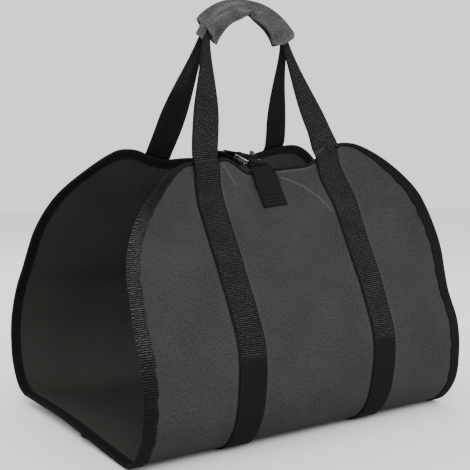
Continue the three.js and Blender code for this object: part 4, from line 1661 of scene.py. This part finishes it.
@dataclass
class ClosureStraps:
    """The two short straps that meet in the ring."""

    maker: BandMaker
    ring: ClosureRing
    bar_ease: float = 0.0005
    tail: float = 0.026
    sewn: float = 0.0545
    tab_size: float = 0.008
    tab_lean: float = math.radians(24)
    tab_shift: float = 0.0085
    tab_root: float = 0.0030
    tab_thick: float = 0.0016
    front_light: float = 0.3
    back_light: float = 0.6
    row_inset: float = 0.003
    seam_rows: tuple[float, ...] = (0.0505, 0.046, 0.041)

    @property
    def wrap(self) -> float:
        """Distance of a strap's middle from the bar that it turns round."""
        return self.bar_ease + self.maker.sheet.layers.webbing / 2

    @property
    def rise(self) -> float:
        """Height of a strap's middle over the ring's middle plane."""
        return self.ring.height / 2 + self.wrap

    def round_bar(self, back: float, corners: list[tuple[int, int, float, float]]) -> Array:
        """Middle line of a strap round a bar, an arc at each corner.

        Args:
            back: the bar's distance back from the front bar.
            corners: sides of each corner, front or back and below or above, and its arc's angles.

        Returns:
            The rows of points.
        """
        parts = []
        for y, z, start, end in corners:
            t = np.radians(np.linspace(start, end, 9))
            parts.append(self.ring.place(back + y * self.ring.bar / 2 + self.wrap * np.cos(t),
                                         z * self.ring.height / 2 + self.wrap * np.sin(t)))
        return np.vstack(parts)

    def strap(self, front: bool, sewn: float, route: Array, turned: Array) -> Surface:
        """Strap from its lowest sewn row, over the hem and along a route of its middle line.

        Args:
            front: True for the front strap.
            sewn: the lowest row's distance from the hem.
            route: points beyond the hem.
            turned: share at each of them by which the strap has turned to lie square in the ring.

        Returns:
            Its surface. The hem's own shape across the strap fades over the first 8 mm.
        """
        maker = self.maker
        spot = Spot(front, 0.0, 1 if front else -1)
        downs = np.linspace(sewn, 0, int(sewn / maker.step))
        path = maker.sewn(spot, downs, np.ones(len(downs))).then(maker.leaving(spot))
        centre, heading, across = maker.hem_end(spot)
        start = centre + heading * maker.leave
        whole = np.vstack([start, route])
        shares = np.concatenate([[0.0], turned])
        run = arc_length(whole)
        fine = resample(soften(whole), maker.step)
        fine_run = arc_length(fine) * run[-1] / arc_length(fine)[-1]
        heading = tangents(fine)
        share = np.interp(fine_run, run, shares)[:, None]
        side = mix(across, self.ring.x * spot.turn, share)
        side = unit(side - heading * (side * heading).sum(-1, keepdims=True))
        open_path = maker.free(fine[1:], side[1:], heading[1:], np.ones(len(fine) - 1))
        fade = 1 - smooth(arc_length(fine[1:]), 0, 0.008)
        open_path.places = open_path.places + fade[:, None, None] * maker.bend(spot)[None]
        return path.then(open_path).surface(maker.shape, maker.sheet.layers.half_webbing)

    def build(self, finish: object, thread: object, tab: object) -> list[bpy.types.Object]:
        """Both straps, their stitching and the pull tab.

        Args:
            finish: the straps' material.
            thread: the stitches' material.
            tab: the pull tab's material.

        Returns:
            The pieces.
        """
        maker, ring = self.maker, self.ring
        layers = maker.sheet.layers
        loop = self.round_bar(0.0, [(-1, -1, 215, 180), (-1, 1, 180, 90), (1, 1, 90, 0), (1, -1, 0, -60)])
        front = self.strap(True, self.sewn, loop, np.ones(len(loop)))
        rear = self.round_bar(ring.reach, [(-1, -1, -90, -180), (-1, 1, 180, 90), (1, 1, 90, 60)])
        centre, heading, _ = maker.hem_end(Spot(False, 0.0, -1))
        crest = (centre + heading * 2.5 * maker.leave)[None]
        under = ring.place([ring.reach + self.tail], [-self.rise])
        near = ring.place([ring.reach + self.tail / 2], [-self.rise])
        laid = layers.webbing + layers.gap - self.rise
        shares = np.array([0.5, 1.0])
        tail = ring.place(ring.reach + shares * self.tail, mix(self.rise, laid, shares))
        route = np.vstack([crest, under, near, rear, tail])
        turned = np.concatenate([[0.0, 0.8, 1.0], np.ones(len(rear) + 2)])
        back = self.strap(False, self.sewn, route, turned)
        # Painted highlight dashes on the closure straps, weaker on the front strap than on the back one.
        front.marks = self.front_light * front.all_marks()
        back.marks = self.back_light * back.all_marks()
        pieces = [
            make_piece("front_closure_strap", front, [finish], ["closure_strap_front"]),
            make_piece("back_closure_strap", back, [finish], ["closure_strap_back"]),
        ]
        half = layers.half_webbing - self.row_inset
        spots = (Spot(True, 0.0), Spot(False, 0.0))
        rows = [sewn_row(maker, spot, down, half) for spot in spots for down in self.seam_rows]
        pieces.append(make_piece("closure_stitches", join_all(rows), [thread], []))
        size = self.tab_size
        foot = ring.place(ring.reach, self.rise + layers.webbing / 2 + layers.gap)
        up = math.cos(self.tab_lean) * ring.z + math.sin(self.tab_lean) * ring.y
        seat = foot + up * size / 2 + ring.x * self.tab_shift - ring.z * self.tab_root
        pieces.append(slab("closure_pull_tab", seat, (ring.x, up, unit(np.cross(ring.x, up))),
                           (size, size, self.tab_thick), tab, "closure_tab"))
        return pieces


def soften(points: Array) -> Array:
    """Centripetal curve through points, sampled finely."""
    keep = np.concatenate([[True], np.linalg.norm(np.diff(points, axis=0), axis=1) > 1e-5])
    return centripetal(points[keep], 24)


# Finishes


class Weave(Enum):
    """Ways in which a cloth's threads cross, with their pitches in metres across and along."""

    CANVAS = (0.0011, 0.0011)
    TAPE = (0.0013, 0.0009)


class Nodes:
    """Short way to put nodes in a tree and join them."""

    def __init__(self, tree: bpy.types.NodeTree) -> None:
        """Keeps the tree."""
        self.tree = tree

    def add(self, kind: str, inputs: dict | None = None, **values: object) -> bpy.types.Node:
        """New node.

        Args:
            kind: its type.
            inputs: sockets or values for its inputs, by name or number.
            values: its attributes.

        Returns:
            The node.
        """
        node = self.tree.nodes.new(kind)
        for name, value in values.items():
            setattr(node, name, value)
        for key, value in (inputs or {}).items():
            self.put(node.inputs[key], value)
        return node

    def put(self, socket: bpy.types.NodeSocket, value: object) -> None:
        """Fills an input.

        Args:
            socket: the input.
            value: the socket that it is joined to, or its plain value.
        """
        if isinstance(value, bpy.types.NodeSocket):
            self.tree.links.new(value, socket)
        else:
            socket.default_value = value

    def math(self, how: str, a: object, b: object = 0.0, c: object = 0.0) -> bpy.types.NodeSocket:
        """Result of a Math node."""
        return self.add("ShaderNodeMath", {0: a, 1: b, 2: c}, operation=how).outputs[0]

    def vector(self, how: str, a: object, b: object, out: str = "Vector") -> bpy.types.NodeSocket:
        """Result of a Vector Math node."""
        return self.add("ShaderNodeVectorMath", {0: a, 1: b}, operation=how).outputs[out]

    def blend(self, mask: object, a: object, b: object) -> bpy.types.NodeSocket:
        """Colour mixed by a mask.

        Args:
            mask: share of the second colour.
            a: the first colour, a socket or three numbers.
            b: the second.

        Returns:
            The mixed colour's socket.
        """
        node = self.add("ShaderNodeMix", {0: mask}, data_type="RGBA")
        pair = [socket for socket in node.inputs if socket.type == "RGBA"]
        for socket, value in zip(pair, (a, b)):
            self.put(socket, (*value, 1) if isinstance(value, tuple) else value)
        return next(socket for socket in node.outputs if socket.type == "RGBA")

    def flat(self) -> bpy.types.NodeSocket:
        """The piece's flat coordinates."""
        return self.add("ShaderNodeUVMap", uv_map="flat").outputs[0]

    def mark(self) -> bpy.types.NodeSocket:
        """The piece's marks."""
        return self.add("ShaderNodeAttribute", attribute_name="mark").outputs["Fac"]

    def mottle(self, tree: bpy.types.NodeTree, place: object, *sizes: float) -> bpy.types.NodeSocket:
        """Uneven colour at a place, by its fleck, patch and fleck share."""
        inputs = {"Place": place, **dict(zip(("Fleck", "Patch", "Fleck Share"), sizes))}
        return self.add("ShaderNodeGroup", inputs, node_tree=tree).outputs[0]

    def near(self, distance: object, width: object) -> bpy.types.NodeSocket:
        """Bell exp(-(distance / width)^2)."""
        share = self.math("DIVIDE", distance, width)
        return self.math("EXPONENT", self.math("MULTIPLY", self.math("MULTIPLY", share, share), -1.0))


def group(name: str, inputs: dict[str, float | None], outputs: tuple[str, ...]) -> tuple:
    """New shader node group with named sockets.

    Args:
        name: its name.
        inputs: value of each input, or None for a vector.
        outputs: name of each output, a plain value.

    Returns:
        The group, its Nodes helper, its input node's sockets and its output node.
    """
    tree = bpy.data.node_groups.new(name, "ShaderNodeTree")
    for key, value in inputs.items():
        kind = "NodeSocketVector" if value is None else "NodeSocketFloat"
        socket = tree.interface.new_socket(name=key, in_out="INPUT", socket_type=kind)
        if value is not None:
            socket.default_value = value
    for key in outputs:
        tree.interface.new_socket(name=key, in_out="OUTPUT", socket_type="NodeSocketFloat")
    nodes = Nodes(tree)
    start = nodes.add("NodeGroupInput")
    end = nodes.add("NodeGroupOutput")
    return tree, nodes, start.outputs, end


def weave_group() -> bpy.types.NodeTree:
    """Height of a plain weave: two crossed sets of threads, each going over and under the other in turn.

    Returns:
        The group.
    """
    inputs = {"Place": None, "Across": 0.001, "Along": 0.001}
    tree, n, start, end = group("plain_weave", inputs, ("Height",))
    xyz = n.add("ShaderNodeSeparateXYZ", {0: start["Place"]}).outputs
    u = n.math("MULTIPLY", n.math("DIVIDE", xyz[0], start["Across"]), math.pi)
    v = n.math("MULTIPLY", n.math("DIVIDE", xyz[1], start["Along"]), math.pi)
    side = n.math("MULTIPLY_ADD", n.math("MULTIPLY", n.math("COSINE", u), n.math("COSINE", v)), 0.5, 0.5)
    warp = n.math("MULTIPLY", n.math("ABSOLUTE", n.math("SINE", u)), side)
    weft = n.math("MULTIPLY", n.math("ABSOLUTE", n.math("SINE", v)), n.math("SUBTRACT", 1.0, side))
    n.put(end.inputs["Height"], n.math("ADD", warp, weft))
    return tree


def mottle_group() -> bpy.types.NodeTree:
    """Mask of a cloth's uneven colour: fine flecks of yarn over broad soft patches.

    Returns:
        The group.
    """
    inputs = {"Place": None, "Fleck": 400.0, "Patch": 14.0, "Fleck Share": 0.6}
    tree, n, start, end = group("yarn_mottle", inputs, ("Mask",))
    parts = []
    for size, detail, roughness in (("Fleck", 3.0, 0.65), ("Patch", 4.0, 0.55)):
        sizes = {"Vector": start["Place"], "Scale": start[size], "Detail": detail, "Roughness": roughness}
        noise = n.add("ShaderNodeTexNoise", sizes).outputs[0]
        spread = n.add("ShaderNodeMapRange", {"Value": noise, "From Min": 0.3, "From Max": 0.7})
        parts.append(spread.outputs[0])
    fleck = n.math("MULTIPLY", parts[0], start["Fleck Share"])
    patch = n.math("MULTIPLY", parts[1], n.math("SUBTRACT", 1.0, start["Fleck Share"]))
    n.put(end.inputs["Mask"], n.math("ADD", fleck, patch))
    return tree


def rib_group() -> bpy.types.NodeTree:
    """Cross ribs of a webbing: crests sin(pi v)^2 along it, with staggered lighter dashes on them, painted
    highlights on the crests.

    Returns:
        The group.
    """
    inputs = {"Place": None, "Pitch": 0.0024, "Dash": 0.003}
    tree, n, start, end = group("cross_ribs", inputs, ("Height", "Light"))
    xyz = n.add("ShaderNodeSeparateXYZ", {0: start["Place"]}).outputs
    row = n.math("DIVIDE", xyz[1], start["Pitch"])
    wave = n.math("SINE", n.math("MULTIPLY", row, math.pi))
    crest = n.math("MULTIPLY", wave, wave)
    shift = n.math("MULTIPLY", n.math("FLOOR", row), 0.5)
    turn = n.math("MULTIPLY", n.math("ADD", n.math("DIVIDE", xyz[0], start["Dash"]), shift), math.pi)
    dash = n.math("SINE", turn)
    raised = n.math("MULTIPLY_ADD", n.math("ABSOLUTE", dash), 0.4, 0.6)
    n.put(end.inputs["Height"], n.math("MULTIPLY", crest, raised))
    light = n.math("MULTIPLY_ADD", n.math("MULTIPLY", dash, dash), 0.45, 0.55)
    n.put(end.inputs["Light"], n.math("MULTIPLY", crest, light))
    return tree


def crease_group() -> bpy.types.NodeTree:
    """Soft line between two places of the flat cloth: a bell across the distance to the segment.

    Returns:
        The group.
    """
    inputs = {"Place": None, "Start": None, "End": None, "Width": 0.001}
    tree, n, start, end = group("crease_line", inputs, ("Mask",))
    run = n.vector("SUBTRACT", start["End"], start["Start"])
    off = n.vector("SUBTRACT", start["Place"], start["Start"])
    reached = n.vector("DOT_PRODUCT", off, run, "Value")
    share = n.math("DIVIDE", reached, n.vector("DOT_PRODUCT", run, run, "Value"))
    held = n.math("MINIMUM", n.math("MAXIMUM", share, 0.0), 1.0)
    reach = n.add("ShaderNodeVectorMath", {0: run, "Scale": held}, operation="SCALE").outputs[0]
    away = n.vector("DISTANCE", off, reach, "Value")
    n.put(end.inputs["Mask"], n.near(away, start["Width"]))
    return tree


@dataclass
class EffectLibrary:
    """The shared effects, each built once."""

    weave: bpy.types.NodeTree = field(default_factory=weave_group)
    mottle: bpy.types.NodeTree = field(default_factory=mottle_group)
    ribs: bpy.types.NodeTree = field(default_factory=rib_group)
    crease: bpy.types.NodeTree = field(default_factory=crease_group)


# Depth of the cloths' bump, in metres
BUMP_SIZE = 0.0004


@dataclass(frozen=True)
class Finish:
    """A material by name; each kind of finish makes its own nodes."""

    name: str

    def start(self) -> tuple[bpy.types.Material, Nodes, bpy.types.Node]:
        """New material.

        Returns:
            The material, its Nodes helper and its Principled shader.
        """
        material = bpy.data.materials.new(self.name)
        material.use_nodes = True
        return material, Nodes(material.node_tree), material.node_tree.nodes["Principled BSDF"]


@dataclass(frozen=True)
class ClothFinish(Finish):
    """A woven cloth: two yarn colours, its weave, flecks, painted light where marked, painted highlight
    lines along creases, and bump.
    """

    dark: tuple[float, float, float]
    light: tuple[float, float, float]
    weave: Weave
    roughness: float = 0.92
    fleck: float = 400.0
    patch: float = 14.0
    fleck_share: float = 0.72
    bump: float = 0.35
    specular: float = 0.04
    painted_light: float = 0.0
    creases: tuple[tuple, ...] = ()

    def make(self, effects: EffectLibrary) -> bpy.types.Material:
        """The material, with weave and flecks read from the piece's flat coordinates.

        Args:
            effects: the shared effects.

        Returns:
            The material.
        """
        material, n, shader = self.start()
        place = n.flat()
        mottle = n.mottle(effects.mottle, place, self.fleck, self.patch, self.fleck_share)
        pitches = dict(zip(("Across", "Along"), self.weave.value))
        weave = n.add("ShaderNodeGroup", {"Place": place, **pitches}, node_tree=effects.weave)
        mask = n.math("MULTIPLY_ADD", weave.outputs[0], 0.15, n.math("MULTIPLY", mottle, 0.85))
        # Painted light from the marks: highlights where they are high, painted shade where they are below
        # 0.
        if self.painted_light:
            mask = n.math("MULTIPLY_ADD", n.mark(), self.painted_light, mask)
        # Lighter lines: painted highlights along the hem roll and the crease crests, the crests partly
        # rubbed wear too.
        for start, end, width, strength in self.creases:
            places = {"Place": place, "Start": (*start, 0), "End": (*end, 0), "Width": width}
            line = n.add("ShaderNodeGroup", places, node_tree=effects.crease)
            mask = n.math("MULTIPLY_ADD", line.outputs[0], strength, mask)
        colour = n.blend(mask, self.dark, self.light)
        height = n.math("MULTIPLY_ADD", mottle, 0.5, weave.outputs[0])
        bump = n.add("ShaderNodeBump", {"Height": height, "Strength": self.bump, "Distance": BUMP_SIZE})
        n.put(shader.inputs["Base Color"], colour)
        n.put(shader.inputs["Normal"], bump.outputs[0])
        shader.inputs["Roughness"].default_value = self.roughness
        shader.inputs["Specular IOR Level"].default_value = self.specular
        return material


@dataclass(frozen=True)
class RibbedFinish(Finish):
    """A webbing or tape with cross ribs: dark yarn, lighter dashes painted on the crests as highlights,
    smooth where unmarked.
    """

    dark: tuple[float, float, float]
    smooth_dark: tuple[float, float, float]
    light: tuple[float, float, float]
    pitch: float = 0.0024
    dash: float = 0.0031
    roughness: float = 0.8
    bump: float = 0.8
    specular: float = 0.04

    def make(self, effects: EffectLibrary) -> bpy.types.Material:
        """The material, its ribs read from the flat coordinates and their strength from the marks.

        Args:
            effects: the shared effects.

        Returns:
            The material.
        """
        material, n, shader = self.start()
        place = n.flat()
        mark = n.mark()
        sizes = {"Place": place, "Pitch": self.pitch, "Dash": self.dash}
        ribs = n.add("ShaderNodeGroup", sizes, node_tree=effects.ribs)
        mottle = n.mottle(effects.mottle, place, 420.0, 40.0, 0.8)
        ground = n.blend(mark, n.blend(mottle, self.smooth_dark, self.dark), self.dark)
        specks = n.math("MULTIPLY_ADD", n.math("POWER", mottle, 2.0), 0.8, 0.10)
        # Painted highlight: light dashes on the rib crests, as strong as the marks allow.
        dashes = n.math("POWER", ribs.outputs["Light"], 1.6)
        painted_lit = n.math("MULTIPLY", dashes, n.math("MULTIPLY", mark, specks))
        painted_lit = n.math("MINIMUM", n.math("MULTIPLY", painted_lit, 1.9), 1.0)
        n.put(shader.inputs["Base Color"], n.blend(painted_lit, ground, self.light))
        height = n.math("MULTIPLY", ribs.outputs["Height"], n.math("MULTIPLY_ADD", mark, 0.8, 0.2))
        bump = n.add("ShaderNodeBump", {"Height": height, "Strength": self.bump, "Distance": BUMP_SIZE})
        n.put(shader.inputs["Normal"], bump.outputs[0])
        shader.inputs["Roughness"].default_value = self.roughness
        shader.inputs["Specular IOR Level"].default_value = self.specular
        return material


@dataclass(frozen=True)
class GlossFinish(Finish):
    """Glossy black paint with bright metal along its edges: a painted highlight standing in for glints."""

    paint: tuple[float, float, float]
    glint_metal: tuple[float, float, float]
    roughness: float = 0.12

    def make(self, effects: EffectLibrary) -> bpy.types.Material:
        """The material, bright metal as a painted highlight where the marks say so, broken up by noise read
        from Object coordinates.

        Args:
            effects: the shared effects.

        Returns:
            The material.
        """
        material, n, shader = self.start()
        place = n.add("ShaderNodeTexCoord").outputs["Object"]
        glint_breakup = n.mottle(effects.mottle, place, 700.0, 160.0, 0.5)
        # Painted highlight: bright metal where the marks are high, broken up by noise.
        painted_glint = n.add("ShaderNodeMapRange", {"Value": n.math("MULTIPLY_ADD", glint_breakup, 0.35, n.mark()),
                                            "From Min": 0.80, "From Max": 1.25})
        n.put(shader.inputs["Base Color"], n.blend(painted_glint.outputs[0], self.paint, self.glint_metal))
        n.put(shader.inputs["Metallic"], painted_glint.outputs[0])
        shader.inputs["Roughness"].default_value = self.roughness
        return material


# The studio


@dataclass
class Studio:
    """Floor, soft lights and the photograph's camera."""

    place: tuple[float, float, float] = (-0.5842, -0.8478, 0.2856)
    azimuth: float = math.radians(34.93)
    tilt: float = math.radians(3.47)
    focal_px: float = 782.7
    frame_px: float = 470.0

    def build(self) -> None:
        """Puts the camera, the floor and the lights in the scene."""
        self.camera()
        self.floor()
        self.light("key", (-1.5, -2.1, 2.3), 1.8, 55.0)
        self.light("fill", (2.2, -1.6, 1.4), 2.2, 42.0)
        self.light("rim", (-0.6, 2.3, 2.0), 2.0, 30.0)
        world = bpy.data.worlds.new("studio_world")
        bpy.context.scene.world = world
        world.use_nodes = True
        back = world.node_tree.nodes["Background"]
        back.inputs[0].default_value = (1.0, 1.0, 1.0, 1)
        back.inputs[1].default_value = 1.3

    def camera(self) -> None:
        """Camera with the fitted place, direction and focal length."""
        data = bpy.data.cameras.new("photo_camera")
        data.sensor_width = 36.0
        data.lens = self.focal_px / self.frame_px * data.sensor_width
        data.clip_start, data.clip_end = 0.01, 50
        camera = bpy.data.objects.new("photo_camera", data)
        way = Vector((math.sin(self.azimuth) * math.cos(self.tilt),
                      math.cos(self.azimuth) * math.cos(self.tilt), -math.sin(self.tilt)))
        camera.location = self.place
        camera.rotation_mode = "QUATERNION"
        camera.rotation_quaternion = way.to_track_quat("-Z", "Y")
        bpy.context.scene.collection.objects.link(camera)
        bpy.context.scene.camera = camera

    def floor(self) -> None:
        """Wide pale floor with a plain rough finish."""
        size = 8.0
        mesh = bpy.data.meshes.new("studio_floor")
        mesh.from_pydata([(-size, -size, 0), (size, -size, 0), (size, size, 0), (-size, size, 0)], [],
                         [(0, 1, 2, 3)])
        floor = bpy.data.objects.new("studio_floor", mesh)
        bpy.context.scene.collection.objects.link(floor)
        material = bpy.data.materials.new("pale_floor")
        material.use_nodes = True
        shader = material.node_tree.nodes["Principled BSDF"]
        shader.inputs["Base Color"].default_value = (0.9, 0.9, 0.9, 1)
        shader.inputs["Roughness"].default_value = 0.8
        mesh.materials.append(material)

    def light(self, name: str, place: tuple[float, float, float], size: float, power: float) -> None:
        """Square soft light that faces the carrier's middle.

        Args:
            name: its name.
            place: where it stands.
            size: its side, in metres.
            power: its power, in watts.
        """
        data = bpy.data.lights.new(name, "AREA")
        data.shape, data.size, data.energy = "SQUARE", size, power
        light = bpy.data.objects.new(name, data)
        light.location = place
        way = Vector((0, 0, 0.2)) - Vector(place)
        light.rotation_mode = "QUATERNION"
        light.rotation_quaternion = way.to_track_quat("-Z", "Y")
        bpy.context.scene.collection.objects.link(light)


def crest_highlights(sheet: CanvasSheet) -> tuple[tuple, ...]:
    """Lighter lines on the flat cloth: painted highlights on the sharp creases' crests, partly rubbed wear
    too, and along the roll of the front hem.

    Args:
        sheet: the canvas.

    Returns:
        Start, end, width and strength of each.
    """
    lines = [(*map(tuple, crease.ends(sheet.fold_scale)), 0.0012, 0.8) for crease in CREASES[:PAINTED_CRESTS]]
    lines.append(((0.022, 0.0056), (0.076, 0.0050), 0.0013, 0.7))
    lines.append(((-0.076, 0.0050), (-0.024, 0.0054), 0.0013, 0.4))
    return tuple(lines)


def make_finishes(sheet: CanvasSheet) -> dict[str, bpy.types.Material]:
    """All materials.

    Args:
        sheet: the canvas, for the painted highlight lines on its creases.

    Returns:
        Each material by its name.
    """
    effects = EffectLibrary()
    finishes = (
        ClothFinish("charcoal_canvas", (0.014, 0.014, 0.014), (0.048, 0.048, 0.0475), Weave.CANVAS,
                    painted_light=0.22, creases=crest_highlights(sheet)),
        ClothFinish("coated_inside", (0.017, 0.0160, 0.0142), (0.038, 0.0362, 0.0328), Weave.CANVAS,
                    roughness=0.75, bump=0.2, specular=0.1),
        RibbedFinish("black_tape", (0.0045, 0.0045, 0.0042), (0.004, 0.004, 0.004), (0.11, 0.11, 0.105),
                     pitch=0.0026, dash=0.0029),
        RibbedFinish("ribbed_webbing", (0.0030, 0.0030, 0.0028), (0.0095, 0.0090, 0.0076),
                     (0.066, 0.066, 0.064)),
        ClothFinish("grip_canvas", (0.016, 0.016, 0.016), (0.088, 0.088, 0.088), Weave.CANVAS, painted_light=0.9,
                    fleck=300.0, patch=45.0, fleck_share=0.6),
        ClothFinish("black_thread", (0.012, 0.012, 0.012), (0.03, 0.03, 0.03), Weave.TAPE, bump=0.1),
        ClothFinish("grey_thread", (0.14, 0.14, 0.14), (0.24, 0.24, 0.24), Weave.TAPE, bump=0.1),
        ClothFinish("grey_tab", (0.035, 0.035, 0.035), (0.07, 0.07, 0.07), Weave.TAPE, painted_light=1.4, bump=0.5),
        GlossFinish("black_gloss", (0.008, 0.008, 0.009), (0.92, 0.92, 0.93)),
    )
    return {finish.name: finish.make(effects) for finish in finishes}


def main() -> None:
    """Builds the studio and every piece."""
    logging.basicConfig(level=logging.INFO, format="%(message)s")
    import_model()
    Studio().build()
    sheet = CanvasSheet()
    finish = make_finishes(sheet)
    canvas = sheet.build([finish["charcoal_canvas"], finish["coated_inside"]])
    binding = EdgeBinding(sheet).build(finish["black_tape"], finish["black_thread"])
    maker = BandMaker(sheet)
    arch = Arch()
    webbing, thread, tab = finish["ribbed_webbing"], finish["black_thread"], finish["grey_tab"]
    for front, bows in ((True, (0.0045, -0.0040)), (False, (0.0, -0.0065))):
        CarryingLoop(front, maker, arch, bows=bows).build(webbing, thread)
    PaddedGrip(arch).build(finish["grip_canvas"], finish["grey_thread"], tab)
    ring = ClosureRing(sheet)
    ring.build(finish["black_gloss"])
    ClosureStraps(maker, ring).build(webbing, thread, tab)


if __name__ == "__main__":
    main()
